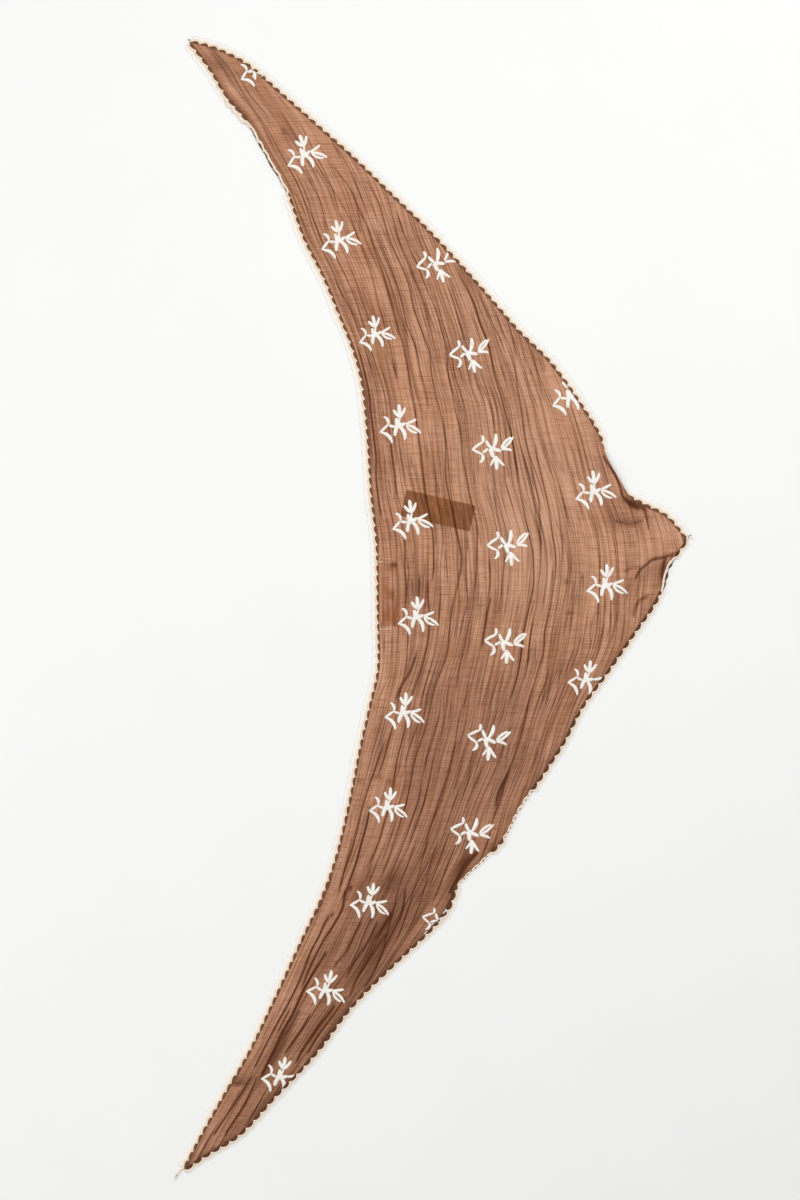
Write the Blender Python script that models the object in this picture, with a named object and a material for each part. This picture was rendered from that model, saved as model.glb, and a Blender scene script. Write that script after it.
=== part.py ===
"""A crinkled cotton bandana laid flat: a long triangle with a scalloped hem and a cream lace edging.

Metres, +Z up. The cloth lies on z = 0 with its long edge along Y, the corner opposite it at +X.
The origin is the centre of the object's box, on the surface that it lies on.
"""

import math
from collections import namedtuple

import bmesh
import bpy
import numpy as np

MM = 0.001

# Driving sizes, in millimetres.
HEM_WIDTH = 0.4
TIP_REACH = 2.8
TIP_RIM = 6.6
HEM_WALL = 1.3
LACE_WALL = 1.4
LACE_PICOT = 0.8
SEAM_GAP = 0.5
CORNER_GAP = 0.4
GROOVE_WALL = 1.0
SHOULDER_WALL = 2.0
CREST_WALL = 2.4
GROOVE_SIDE = 1.7
CLOSE_GROOVES = 6.0
ROW_LENGTH = 32.0
EDGE_ROW_LENGTH = 14.0
LEG_STEP = 9.0
LABEL_WALL = 1.0
LABEL_GAP = 0.3
LABEL_RAMP = 7.0

EdgeRow = namedtuple("EdgeRow", "x y")
PleatRow = namedtuple("PleatRow", "y first second third fourth fifth sixth last")
Groove = namedtuple("Groove", "offset depth start end")
Fold = namedtuple("Fold", "x0 y0 x1 y1 width height")
Label = namedtuple("Label", "name x y length width turn")
Border = namedtuple("Border", "curve side pitch depth lean lace")
Station = namedtuple("Station", "origin direction share phase reach rim")

# The long edge, from the upper tip to the lower tip.
LONG_EDGE = [
    EdgeRow(-214, 498),
    EdgeRow(-197, 476),
    EdgeRow(-182, 452),
    EdgeRow(-164, 431),
    EdgeRow(-147, 402),
    EdgeRow(-129, 370),
    EdgeRow(-113, 326),
    EdgeRow(-96, 292),
    EdgeRow(-83, 261),
    EdgeRow(-69, 225),
    EdgeRow(-62, 198),
    EdgeRow(-57, 150),
    EdgeRow(-54, 103),
    EdgeRow(-49, 55),
    EdgeRow(-48, 0),
    EdgeRow(-48, -55),
    EdgeRow(-54, -82),
    EdgeRow(-63, -121),
    EdgeRow(-73, -171),
    EdgeRow(-85, -220),
    EdgeRow(-98, -256),
    EdgeRow(-115, -292),
    EdgeRow(-137, -340),
    EdgeRow(-162, -392),
    EdgeRow(-182, -426),
    EdgeRow(-204, -465),
    EdgeRow(-219, -493),
]

# The upper leg, from the upper tip to the corner.
UPPER_LEG = [
    EdgeRow(-214, 498),
    EdgeRow(-195, 493),
    EdgeRow(-166, 479),
    EdgeRow(-133, 451),
    EdgeRow(-99, 421),
    EdgeRow(-72, 397),
    EdgeRow(-42, 368),
    EdgeRow(-11, 338),
    EdgeRow(12, 314),
    EdgeRow(40, 283),
    EdgeRow(74, 244),
    EdgeRow(103, 215),
    EdgeRow(131, 176),
    EdgeRow(145, 153),
    EdgeRow(152, 134),
    EdgeRow(164, 113),
    EdgeRow(173, 98),
    EdgeRow(187, 90),
    EdgeRow(204, 81),
    EdgeRow(216, 68),
    EdgeRow(222, 60),
]

# The lower leg, from the lower tip to the corner.
LOWER_LEG = [
    EdgeRow(-219, -493),
    EdgeRow(-198, -479),
    EdgeRow(-172, -463),
    EdgeRow(-140, -429),
    EdgeRow(-116, -404),
    EdgeRow(-101, -387),
    EdgeRow(-72, -349),
    EdgeRow(-36, -313),
    EdgeRow(-2, -281),
    EdgeRow(13, -263),
    EdgeRow(21, -243),
    EdgeRow(42, -222),
    EdgeRow(62, -201),
    EdgeRow(75, -176),
    EdgeRow(94, -148),
    EdgeRow(114, -117),
    EdgeRow(131, -85),
    EdgeRow(152, -56),
    EdgeRow(179, -17),
    EdgeRow(191, 0),
    EdgeRow(199, 15),
    EdgeRow(204, 35),
    EdgeRow(213, 48),
    EdgeRow(222, 60),
]

# How far pleats lie from the long edge at each height of the layout. Each column is one pleat,
# from the one nearest the long edge to the one that ends in the corner.
PLEAT_ROWS = [
    PleatRow(520, 21, 63, 86, 123, 141, 185, 246),
    PleatRow(415, 21, 62, 84, 123, 141, 185, 246),
    PleatRow(348, 19, 56, 81, 121, 137, 180, 242),
    PleatRow(296, 17, 52, 76, 120, 133, 176, 238),
    PleatRow(241, 14, 46, 69, 118, 130, 174, 233),
    PleatRow(206, 13, 42, 64, 117, 130, 175, 234),
    PleatRow(174, 14, 45, 67, 123, 134, 182, 239),
    PleatRow(148, 16, 44, 67, 125, 137, 187, 245),
    PleatRow(104, 19, 47, 67, 129, 148, 195, 260),
    PleatRow(69, 23, 50, 68, 136, 153, 202, 269),
    PleatRow(38, 24, 48, 68, 137, 156, 204, 270),
    PleatRow(7, 24, 46, 69, 134, 152, 204, 264),
    PleatRow(-28, 23, 41, 64, 127, 145, 201, 255),
    PleatRow(-63, 21, 33, 57, 123, 141, 188, 242),
    PleatRow(-98, 21, 31, 61, 123, 138, 180, 231),
    PleatRow(-136, 18, 30, 59, 118, 136, 176, 224),
    PleatRow(-170, 14, 29, 59, 110, 129, 170, 216),
    PleatRow(-205, 13, 27, 55, 105, 128, 165, 211),
    PleatRow(-239, 11, 26, 49, 99, 123, 160, 207),
    PleatRow(-277, 12, 24, 47, 92, 119, 154, 202),
    PleatRow(-309, 11, 23, 49, 86, 113, 148, 198),
    PleatRow(-345, 11, 21, 40, 79, 106, 141, 194),
    PleatRow(-387, 10, 19, 33, 70, 99, 132, 185),
    PleatRow(-441, 9, 18, 32, 63, 92, 123, 176),
    PleatRow(-510, 9, 18, 32, 62, 88, 119, 172),
]

# The stretch with the hem turned under, in shares of the upper leg's length.
TURNED_UNDER = (0.828, 0.889)

# The crinkle's grooves, by their distance from the long edge at mid-length. A groove's start
# and end are shares of its own length, from the upper leg to the lower one.
GROOVES = [
    Groove(10.6, 1.3, 0.05, 0.95),
    Groove(16.7, 0.7, 0.00, 0.62),
    Groove(23.8, 1.2, 0.10, 1.00),
    Groove(29.5, 0.9, 0.00, 0.90),
    Groove(35.2, 1.3, 0.30, 1.00),
    Groove(44.0, 0.9, 0.00, 0.75),
    Groove(54.6, 1.2, 0.05, 1.00),
    Groove(61.6, 0.8, 0.00, 0.85),
    Groove(68.6, 1.0, 0.25, 1.00),
    Groove(73.9, 0.7, 0.00, 1.00),
    Groove(78.3, 1.3, 0.10, 1.00),
    Groove(86.2, 0.9, 0.00, 0.90),
    Groove(97.7, 1.3, 0.00, 0.95),
    Groove(110.0, 0.9, 0.35, 1.00),
    Groove(114.4, 0.8, 0.00, 0.90),
    Groove(119.2, 1.1, 0.00, 0.70),
    Groove(123.6, 0.8, 0.10, 1.00),
    Groove(129.4, 1.2, 0.00, 1.00),
    Groove(135.5, 0.9, 0.00, 0.85),
    Groove(143.0, 1.0, 0.20, 1.00),
    Groove(148.3, 0.8, 0.00, 0.80),
    Groove(154.9, 1.2, 0.00, 1.00),
    Groove(162.8, 0.9, 0.00, 0.90),
    Groove(172.5, 1.1, 0.10, 1.00),
    Groove(179.5, 0.8, 0.00, 0.65),
    Groove(193.6, 1.1, 0.00, 1.00),
    Groove(209.4, 0.9, 0.15, 1.00),
    Groove(222.6, 1.1, 0.00, 0.90),
    Groove(235.0, 0.8, 0.00, 1.00),
    Groove(243.0, 0.9, 0.00, 1.00),
]

# The larger folds: a ridge where height is above 0, a trough where it is below.
FOLDS = [
    Fold(150, 137, 170, 101, 6.0, 1.6),
    Fold(160, 98, 188, 86, 7.0, -0.7),
    Fold(214, 53, 166, 22, 7.0, 1.6),
    Fold(166, 22, 137, -4, 7.0, 1.0),
    Fold(205, 36, 196, 10, 6.0, -0.6),
    Fold(142, -18, 107, -47, 7.0, 0.9),
    Fold(52, -196, 16, -240, 7.0, 1.2),
    Fold(30, -212, -2, -262, 6.0, -0.7),
    Fold(-188, -411, -152, -418, 6.0, 1.0),
    Fold(-120, 409, -95, 372, 8.0, 0.8),
]

# The blank labels that lie under the cloth. A turn is in degrees, anticlockwise from above.
LABELS = [
    Label("label_back", 4, 86, 63, 24, -13),
    Label("label_seam", -38.5, 12, 56, 14, 90),
]


def smooth_curve(rows, steps=12):
    """Points along a centripetal Catmull-Rom curve through the rows of a table."""
    given = np.array([(row.x, row.y) for row in rows], float)
    ends = (2 * given[0] - given[1], 2 * given[-1] - given[-2])
    knots = np.vstack([ends[0], given, ends[1]])
    curve = []
    for p0, p1, p2, p3 in zip(knots, knots[1:], knots[2:], knots[3:]):
        t1 = math.sqrt(np.linalg.norm(p1 - p0))
        t2 = t1 + math.sqrt(np.linalg.norm(p2 - p1))
        t3 = t2 + math.sqrt(np.linalg.norm(p3 - p2))
        for t in np.linspace(t1, t2, steps, endpoint=False):
            a1 = (p0 * (t1 - t) + p1 * t) / t1
            a2 = (p1 * (t2 - t) + p2 * (t - t1)) / (t2 - t1)
            a3 = (p2 * (t3 - t) + p3 * (t - t2)) / (t3 - t2)
            b1 = (a1 * (t2 - t) + a2 * t) / t2
            b2 = (a2 * (t3 - t) + a3 * (t - t1)) / (t3 - t1)
            curve.append((b1 * (t2 - t) + b2 * (t - t1)) / (t2 - t1))
    curve.append(given[-1])
    return np.array(curve)


class Edge:
    """One edge of the panel as a curve that is read by its length."""

    def __init__(self, rows):
        self.points = smooth_curve(rows)
        steps = np.linalg.norm(np.diff(self.points, axis=0), axis=1)
        self.along = np.concatenate([[0.0], np.cumsum(steps)])
        self.length = self.along[-1]

    def at(self, share):
        """The point at a share of the edge's length."""
        place = np.clip(share, 0, 1) * self.length
        return np.array([np.interp(place, self.along, self.points[:, k]) for k in (0, 1)])

    def tangent(self, share, reach=3.0):
        """The unit direction of the edge, read over a short reach either side."""
        step = reach / self.length
        ahead = self.at(min(1, share + step)) - self.at(max(0, share - step))
        return ahead / np.linalg.norm(ahead)


long_edge = Edge(LONG_EDGE)
upper_leg = Edge(UPPER_LEG)
lower_leg = Edge(LOWER_LEG)
FALLING = slice(None, None, -1)
CORNER = upper_leg.at(1)
MIDDLE = 38.0

# Each edge's border. A side of 1 has the cloth to the left, a lean under 1 brings each scallop's
# top forward, and lace is how far the lace's rim stands out from the hem's notches.
BORDERS = {
    "long": Border(long_edge, 1, 8.6, 2.0, 0.65, 6.4),
    "upper": Border(upper_leg, -1, 8.4, 2.2, 1.5, 6.2),
    "lower": Border(lower_leg, 1, 9.3, 3.1, 1.0, 5.4),
}


def edge_x(y):
    """Where the long edge is at a height y of the layout."""
    return np.interp(y, long_edge.points[FALLING, 1], long_edge.points[FALLING, 0])


def leg_x(y):
    """Where the legs are at a height y of the layout."""
    upper = np.interp(y, upper_leg.points[FALLING, 1], upper_leg.points[FALLING, 0])
    lower = np.interp(y, lower_leg.points[:, 1], lower_leg.points[:, 0])
    return np.where(np.asarray(y) > CORNER[1], upper, lower)


HEIGHTS = np.linspace(long_edge.points[-1, 1], long_edge.points[0, 1], 1201)


def pleat_columns():
    """Each listed pleat's distance to the long edge at every height, the edge itself first."""
    columns = [np.zeros_like(HEIGHTS)]
    for name in PleatRow._fields[1:]:
        curve = smooth_curve([EdgeRow(getattr(row, name), row.y) for row in PLEAT_ROWS])
        columns.append(np.interp(HEIGHTS, curve[FALLING, 1], curve[FALLING, 0]))
    return np.array(columns)


COLUMNS = pleat_columns()
MIDDLES = [float(np.interp(MIDDLE, HEIGHTS, column)) for column in COLUMNS]
WIDTHS = leg_x(HEIGHTS) - edge_x(HEIGHTS)


def pleat_distances(offset):
    """A pleat's distance to the long edge at every height, from that at mid-length."""
    place = np.interp(offset, MIDDLES, np.arange(len(MIDDLES)))
    low = min(int(place), len(MIDDLES) - 2)
    return COLUMNS[low] + (COLUMNS[low + 1] - COLUMNS[low]) * (place - low)


def pleat_ends(offset):
    """The heights at which a pleat meets the upper and the lower leg."""
    if offset == 0:
        return HEIGHTS[-1], HEIGHTS[0]
    spare = WIDTHS - pleat_distances(offset)
    middle = int(np.argmax(np.where(np.abs(HEIGHTS - CORNER[1]) < 40, spare, -1)))
    ends = []
    for step in (1, -1):
        k = middle
        while spare[k + step] > 0:
            k += step
        share = spare[k] / (spare[k] - spare[k + step])
        ends.append(HEIGHTS[k] + (HEIGHTS[k + step] - HEIGHTS[k]) * share)
    return tuple(ends)


def pleat_point(offset, y):
    """The point of a pleat at a height y of the layout."""
    return np.array([edge_x(y) + np.interp(y, HEIGHTS, pleat_distances(offset)), y])


def soft_step(value):
    held = np.clip(value, 0, 1)
    return held * held * (3 - 2 * held)


def fold_height(x, y):
    """The height that the larger folds add at a point."""
    total = 0.0
    for fold in FOLDS:
        start = np.array([fold.x0, fold.y0])
        run = np.array([fold.x1, fold.y1]) - start
        share = np.clip(np.dot(np.array([x, y]) - start, run) / np.dot(run, run), 0, 1)
        away = np.linalg.norm(np.array([x, y]) - start - run * share)
        total += fold.height * math.exp(-((away / fold.width) ** 2))
    return total


def label_height(x, y):
    """How far the cloth is lifted where it lies over a label."""
    lift = LABEL_WALL + LABEL_GAP
    total = 0.0
    for label in LABELS:
        turn = math.radians(label.turn)
        dx, dy = x - label.x, y - label.y
        across = abs(dx * math.cos(turn) + dy * math.sin(turn)) - label.length / 2
        up = abs(-dx * math.sin(turn) + dy * math.cos(turn)) - label.width / 2
        outside = math.hypot(max(across - 1, 0), max(up - 1, 0))
        total = max(total, lift * (1 - soft_step(outside / LABEL_RAMP)))
    return total


def panel_height(x, y, wall):
    return max(GROOVE_WALL, wall + fold_height(x, y)) + label_height(x, y)


def groove_wall(groove, along):
    """The wall at a groove's bottom, which is shallow past its ends."""
    fade = 0.08
    inside = soft_step((along - groove.start) / fade + 0.5) * soft_step((groove.end - along) / fade + 0.5)
    return CREST_WALL - groove.depth * (0.25 + 0.75 * inside)


def pleat_lines():
    """The lines of the panel's grid: (offset, function from a share of its length to the wall)."""
    lines = [(0.0, lambda along: SHOULDER_WALL)]
    edge = Groove(0, 0, 0, 1)
    for before, groove in zip([edge] + GROOVES, GROOVES):
        spacing = groove.offset - before.offset
        if spacing < CLOSE_GROOVES:
            lines.append((before.offset + spacing / 2, lambda along: SHOULDER_WALL))
        else:
            crest = CREST_WALL + 0.25 * math.sin(before.offset)
            for place in (before.offset + GROOVE_SIDE, groove.offset - GROOVE_SIDE):
                lines.append((place, lambda along, crest=crest: crest))
        lines.append((groove.offset, lambda along, groove=groove: groove_wall(groove, along)))
    last = GROOVES[-1].offset
    for part in (0.3, 0.6, 0.85):
        lines.append((last + (MIDDLES[-1] - last) * part, lambda along: CREST_WALL))
    return lines


def leg_points(leg, y_from, y_to):
    """Points of a leg between two heights, without its ends, so that the hem stays close to it."""
    rising = leg.points[-1, 1] > leg.points[0, 1]
    order = slice(None) if rising else FALLING
    shares = [np.interp(y, leg.points[order, 1], leg.along[order]) / leg.length for y in (y_from, y_to)]
    count = int(abs(shares[1] - shares[0]) * leg.length / LEG_STEP)
    return [leg.at(share) for share in np.linspace(*shares, count + 2)[1:-1]]


def zip_strip(mesh, first, second):
    """Triangles between two rows of vertices, which may differ in number."""
    i = j = 0
    while i < len(first) - 1 or j < len(second) - 1:
        step_first = i < len(first) - 1 and (
            j == len(second) - 1
            or (first[i + 1].co - second[j].co).length <= (second[j + 1].co - first[i].co).length
        )
        if step_first:
            mesh.faces.new((first[i], first[i + 1], second[j]))
            i += 1
        else:
            mesh.faces.new((first[i], second[j + 1], second[j]))
            j += 1


def outward(edge, share, side):
    """The direction out of the cloth, square to the edge. Side is 1 where the cloth lies to the left."""
    along = edge.tangent(share)
    return np.array([along[1], -along[0]]) * side


def turned(start, end, part):
    """A unit direction part of the way from one direction to another."""
    angle = math.atan2(start[0] * end[1] - start[1] * end[0], float(np.dot(start, end)))
    c, s = math.cos(angle * part), math.sin(angle * part)
    return np.array([start[0] * c - start[1] * s, start[0] * s + start[1] * c])


def corner_direction(first, second):
    both = first + second
    return both / np.linalg.norm(both)


def border_stations(border, start_direction, end_direction):
    """Stations round an edge's scallops, fanned round its two corners."""
    curve, side = border.curve, border.side
    count = round(curve.length / border.pitch)
    parts = 3
    fan = ((1.0, 0.5), (0.5, 0.25))
    places = [(0, turned(outward(curve, 0, side), start_direction, part), phase) for part, phase in fan]
    for k in range(count * parts + 1):
        share = k / (count * parts)
        places.append((share, outward(curve, share, side), (k % parts) / parts))
    places += [(1, turned(outward(curve, 1, side), end_direction, part), phase) for part, phase in fan[::-1]]
    stations = [border_station(border, *place) for place in places]
    for tip in (0, -1):
        stations[tip] = stations[tip]._replace(reach=TIP_REACH, rim=TIP_RIM)
    return stations


def border_station(border, share, direction, phase):
    """One station: how far the scallop and the lace's rim reach out. A phase of 0 is a notch."""
    rise = math.sin(math.pi * phase**border.lean)
    reach = HEM_WIDTH + border.depth * max(0, rise) ** 0.6
    rim = border.lace + LACE_PICOT * math.sin(math.pi * phase)
    return Station(border.curve.at(share), direction, share, phase, reach, rim)


def all_borders():
    """The stations of each edge by its name."""
    ends = {
        "top": (outward(long_edge, 0, 1), outward(upper_leg, 0, -1)),
        "bottom": (outward(long_edge, 1, 1), outward(lower_leg, 0, 1)),
        "corner": (outward(upper_leg, 1, -1), outward(lower_leg, 1, 1)),
    }
    out = {name: corner_direction(*pair) for name, pair in ends.items()}
    return {
        "long": border_stations(BORDERS["long"], out["top"], out["bottom"]),
        "upper": border_stations(BORDERS["upper"], out["top"], out["corner"]),
        "lower": border_stations(BORDERS["lower"], out["bottom"], out["corner"]),
    }


def new_object(name, mesh, material):
    data = bpy.data.meshes.new(name)
    bmesh.ops.recalc_face_normals(mesh, faces=mesh.faces)
    mesh.to_mesh(data)
    mesh.free()
    data.materials.append(material)
    obj = bpy.data.objects.new(name, data)
    bpy.context.scene.collection.objects.link(obj)
    return obj


def new_material(name, colour, roughness):
    material = bpy.data.materials.new(name)
    material.use_nodes = True
    shader = material.node_tree.nodes["Principled BSDF"]
    shader.inputs["Base Color"].default_value = (*colour, 1)
    shader.inputs["Roughness"].default_value = roughness
    shader.inputs["Metallic"].default_value = 0
    return material


def vertex(mesh, x, y, z):
    return mesh.verts.new((x * MM, y * MM, z * MM))


def pleat_row(mesh, offset, wall, spacing):
    """The vertices of one pleat line, from the upper leg to the lower one."""
    top, bottom = pleat_ends(offset)
    count = max(2, round((top - bottom) / spacing) + 1)
    row = []
    for along in np.linspace(0, 1, count):
        x, y = pleat_point(offset, top + (bottom - top) * along)
        row.append(vertex(mesh, x, y, panel_height(x, y, wall(along))))
    return row


def pleated_top(mesh):
    """The pleated face. Returns its boundary: down the long edge, then back along the legs."""
    lines = pleat_lines()
    before = pleat_row(mesh, *lines[0], EDGE_ROW_LENGTH)
    edge, upper, lower = before, [], []
    for (offset, _), line in zip(lines, lines[1:]):
        row = pleat_row(mesh, *line, ROW_LENGTH)
        ends = pleat_ends(offset), pleat_ends(line[0])
        near_top = leg_vertices(mesh, upper_leg, ends[0][0], ends[1][0])
        near_bottom = leg_vertices(mesh, lower_leg, ends[0][1], ends[1][1])
        zip_strip(mesh, before, near_top + row + near_bottom[::-1])
        upper += near_top + [row[0]]
        lower += near_bottom + [row[-1]]
        before = row
    last = pleat_ends(lines[-1][0])
    near_top = leg_vertices(mesh, upper_leg, last[0], CORNER[1])
    near_bottom = leg_vertices(mesh, lower_leg, last[1], CORNER[1])
    corner = vertex(mesh, *CORNER, panel_height(*CORNER, CREST_WALL))
    zip_strip(mesh, before, near_top + [corner] + near_bottom[::-1])
    return edge + lower + near_bottom + [corner] + near_top[::-1] + upper[::-1]


def leg_vertices(mesh, leg, y_from, y_to):
    points = leg_points(leg, y_from, y_to)
    return [vertex(mesh, x, y, panel_height(x, y, SHOULDER_WALL)) for x, y in points]


def hem_loop(borders):
    """The hem round all three edges, as runs of points that each start at a notch."""
    low, high = TURNED_UNDER
    runs = []
    for stations, folding in (
        (borders["long"], False), (borders["lower"], False), (borders["upper"][::-1], True)
    ):
        for station in stations[:-1]:
            point = station.origin + station.direction * station.reach
            if station.phase == 0 or not runs:
                runs.append([point])
            elif not (folding and low < station.share < high):
                runs[-1].append(point)
    first = runs.pop(0)
    runs[-1] += first
    return runs


def build_panel(borders, material):
    """The cloth: pleated above, flat below, with its scalloped hem as the outline."""
    mesh = bmesh.new()
    inner = pleated_top(mesh)
    hem = [[vertex(mesh, x, y, HEM_WALL) for x, y in run] for run in hem_loop(borders)]
    notches = [run[0] for run in hem]
    zip_strip(mesh, inner + [inner[0]], notches + [notches[0]])
    for run, after in zip(hem, hem[1:] + hem[:1]):
        if len(run) > 1:
            mesh.faces.new(run + [after[0]])
    top = [corner for run in hem for corner in run]
    bottom = [mesh.verts.new((corner.co.x, corner.co.y, 0)) for corner in top]
    for k, corner in enumerate(top):
        after = (k + 1) % len(top)
        mesh.faces.new((corner, top[after], bottom[after], bottom[k]))
    mesh.faces.new(bottom)
    panel = new_object("panel", mesh, material)
    for label in LABELS:
        cut_recess(panel, label)
    return panel


def label_corners(label, extra):
    """The corners of a label's outline, grown by a gap."""
    turn = math.radians(label.turn)
    half_length, half_width = label.length / 2 + extra, label.width / 2 + extra
    corners = []
    for a, b in ((-1, -1), (1, -1), (1, 1), (-1, 1)):
        u, v = a * half_length, b * half_width
        corners.append((
            label.x + u * math.cos(turn) - v * math.sin(turn),
            label.y + u * math.sin(turn) + v * math.cos(turn),
        ))
    return corners


def label_block(name, label, extra, low, high, material):
    mesh = bmesh.new()
    corners = label_corners(label, extra)
    bottom = [vertex(mesh, x, y, low) for x, y in corners]
    top = [vertex(mesh, x, y, high) for x, y in corners]
    mesh.faces.new(bottom)
    mesh.faces.new(top)
    for k in range(len(corners)):
        after = (k + 1) % len(corners)
        mesh.faces.new((bottom[k], bottom[after], top[after], top[k]))
    return new_object(name, mesh, material)


def cut_recess(panel, label):
    """Cuts the room that a label takes out of the panel's underside."""
    cutter = label_block(
        label.name + "_recess", label, LABEL_GAP, -2, LABEL_WALL + LABEL_GAP, panel.data.materials[0]
    )
    cutter.hide_render = True
    cutter.display_type = "WIRE"
    cut = panel.modifiers.new("recess_" + label.name, "BOOLEAN")
    cut.operation = "DIFFERENCE"
    cut.solver = "EXACT"
    cut.object = cutter


def build_lace(name, stations, material):
    """A strip of lace along a run of stations, seated against the scallops."""
    mesh = bmesh.new()
    inside, outside = [], []
    for station in stations:
        inside.append(station.origin + station.direction * (station.reach + SEAM_GAP))
        if station.phase <= 0.5:
            outside.append(station.origin + station.direction * station.rim)
    outline = inside + outside[::-1]
    for end, near in ((0, 1), (-1, -2)):
        shift = inside[near] - inside[end]
        axis = stations[end].direction
        shift = shift - axis * np.dot(shift, axis)
        shift = shift / np.linalg.norm(shift) * CORNER_GAP / 2
        inside_at = 0 if end == 0 else len(inside) - 1
        outside_at = len(outline) - 1 if end == 0 else len(inside)
        outline[inside_at] = outline[inside_at] + shift
        outline[outside_at] = outline[outside_at] + shift
    bottom = [vertex(mesh, x, y, 0) for x, y in outline]
    top = [vertex(mesh, x, y, LACE_WALL) for x, y in outline]
    mesh.faces.new(bottom)
    mesh.faces.new(top)
    for k in range(len(outline)):
        after = (k + 1) % len(outline)
        mesh.faces.new((bottom[k], bottom[after], top[after], top[k]))
    return new_object(name, mesh, material)


def lace_runs(borders):
    """The run of stations that each lace strip follows. It isn't seen where the hem is turned under."""
    low, high = TURNED_UNDER
    upper = borders["upper"]
    return {
        "lace_long": borders["long"],
        "lace_upper": [station for station in upper if station.share <= low],
        "lace_corner": [station for station in upper if station.share >= high],
        "lace_lower": borders["lower"],
    }


def centre_on_origin(objects):
    """Moves every mesh so that the object's box stands centred on the origin."""
    corners = np.array([v.co for obj in objects for v in obj.data.vertices])
    shift = (corners.min(0) + corners.max(0)) / 2
    for obj in bpy.data.objects:
        for v in obj.data.vertices:
            v.co.x -= shift[0]
            v.co.y -= shift[1]


def main():
    for obj in list(bpy.data.objects):
        bpy.data.objects.remove(obj)
    cloth = new_material("crinkled_cotton", (0.30, 0.155, 0.085), 0.85)
    lace = new_material("cream_lace", (0.86, 0.78, 0.66), 0.8)
    tape = new_material("label_tape", (0.24, 0.10, 0.035), 0.6)
    borders = all_borders()
    pieces = [build_panel(borders, cloth)]
    for name, stations in lace_runs(borders).items():
        pieces.append(build_lace(name, stations, lace))
    for label in LABELS:
        pieces.append(label_block(label.name, label, 0, 0, LABEL_WALL, tape))
    centre_on_origin(pieces)


main()
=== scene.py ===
import math
from collections import namedtuple

import bpy
import numpy as np
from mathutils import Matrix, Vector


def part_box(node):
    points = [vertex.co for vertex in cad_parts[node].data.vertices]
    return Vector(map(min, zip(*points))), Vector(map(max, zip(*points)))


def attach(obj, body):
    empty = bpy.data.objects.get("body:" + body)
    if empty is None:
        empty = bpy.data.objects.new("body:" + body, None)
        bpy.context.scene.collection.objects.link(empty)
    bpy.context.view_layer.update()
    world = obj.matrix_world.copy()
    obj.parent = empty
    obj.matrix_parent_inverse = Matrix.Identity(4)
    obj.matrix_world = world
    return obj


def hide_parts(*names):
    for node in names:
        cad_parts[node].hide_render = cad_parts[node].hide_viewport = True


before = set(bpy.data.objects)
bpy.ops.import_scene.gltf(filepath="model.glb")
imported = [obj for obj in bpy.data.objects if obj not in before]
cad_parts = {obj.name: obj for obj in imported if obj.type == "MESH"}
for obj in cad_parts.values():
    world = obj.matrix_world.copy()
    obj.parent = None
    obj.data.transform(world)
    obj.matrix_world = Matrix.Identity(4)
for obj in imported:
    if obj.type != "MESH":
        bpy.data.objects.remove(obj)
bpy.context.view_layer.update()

MM = 0.001

# Sizes in millimetres. The layout's own x and y are those of the tables below.
CLOTH = 0.45  # the shell's least thickness
LEAST_Z = 0.02  # how far the lowest points keep off the floor
LINE_STEP = 0.54
ROW_STEP = 3.9
UNDER_CELL = 3.0
FAR = 99.0
CREST = 2.0
DEEPEST = 1.5
HEM_TOP = 1.25
HEM_RISE = 7.0
HEM_WIDTH = 0.4
HEM_INSIDE = 0.7
DEEPER_HEM = 1.6
LABEL_WALL = 1.0
LABEL_GAP = 0.3
LABEL_EDGE = 1.0
LABEL_RAMP = 7.0
LACE_PICOT = 0.8
FINE_LANE = 5.0
CROSS_REACH = 12
LONGEST_FADE = 16
WIGGLE = 0.6
WIGGLE_RUN = 19
LEG_BAND = 4.5
THREAD = 0.85
RIM_THREAD = 0.2
KNOT = 1.5
RIBBON_REACH = 1.6
THREAD_WAVE = {"long": 0.6, "upper": 1.1, "lower": 1.1}
ROLL_WIDTH = {"long": 2.6, "lower": 3.6}
FLOSS = 0.75
PETAL_SLAB = 0.5
HEM_SLAB = 1.0
ROLL_SLAB = 0.7
NET_SLAB = 0.3
NET_GAP = 0.2
TAPE_SLAB = 0.45
TAPE_RIPPLE = 0.12
STITCH = 0.42
MIDDLE = 38.0  # the height of the layout at which pleats are named

# How high above the floor the sewing lies, in millimetres.
HEM_Z = 0.75
ROLL_Z = 1.4
TUCK_Z = STRAY_Z = 1.75
NET_Z = 0.6
RIM_Z = 0.22
TAPE_Z = 0.72
BROWN_END_Z = 0.5
CREAM_END_Z = 0.8

# Shares, factors and counts.
UNDER_STEPS = 3  # how much coarser the cloth's lower face is
CREASE_WIDTH = 0.52
WIDE_PART = 2.6
PLAIN_DEPTH = 0.12
FULL_DARK = 0.95
LEG_SHADE = 0.5
UNDER_TAPER = 0.02
SPRIG_LEAN = 0.45  # how much of the pleats' lean a sprig follows
PETAL_SWELL = 0.98
WANDER_KNOTS = 400
LEVELS = 1201

EdgeRow = namedtuple("EdgeRow", "x y")
PleatRow = namedtuple("PleatRow", "y first second third fourth fifth sixth last")
Crease = namedtuple("Crease", "depth width path")
Fold = namedtuple("Fold", "x0 y0 x1 y1 width height")
Shade = namedtuple("Shade", "x y length width turn dark")
Label = namedtuple("Label", "name x y length width turn")
Border = namedtuple("Border", "curve side pitch depth lean lace")
Region = namedtuple("Region", "x0 x1 y0 y1")
Loose = namedtuple("Loose", "radius path")
Petal = namedtuple("Petal", "x0 y0 x1 y1 bend width")
Sprig = namedtuple("Sprig", "x y size petals")

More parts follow.
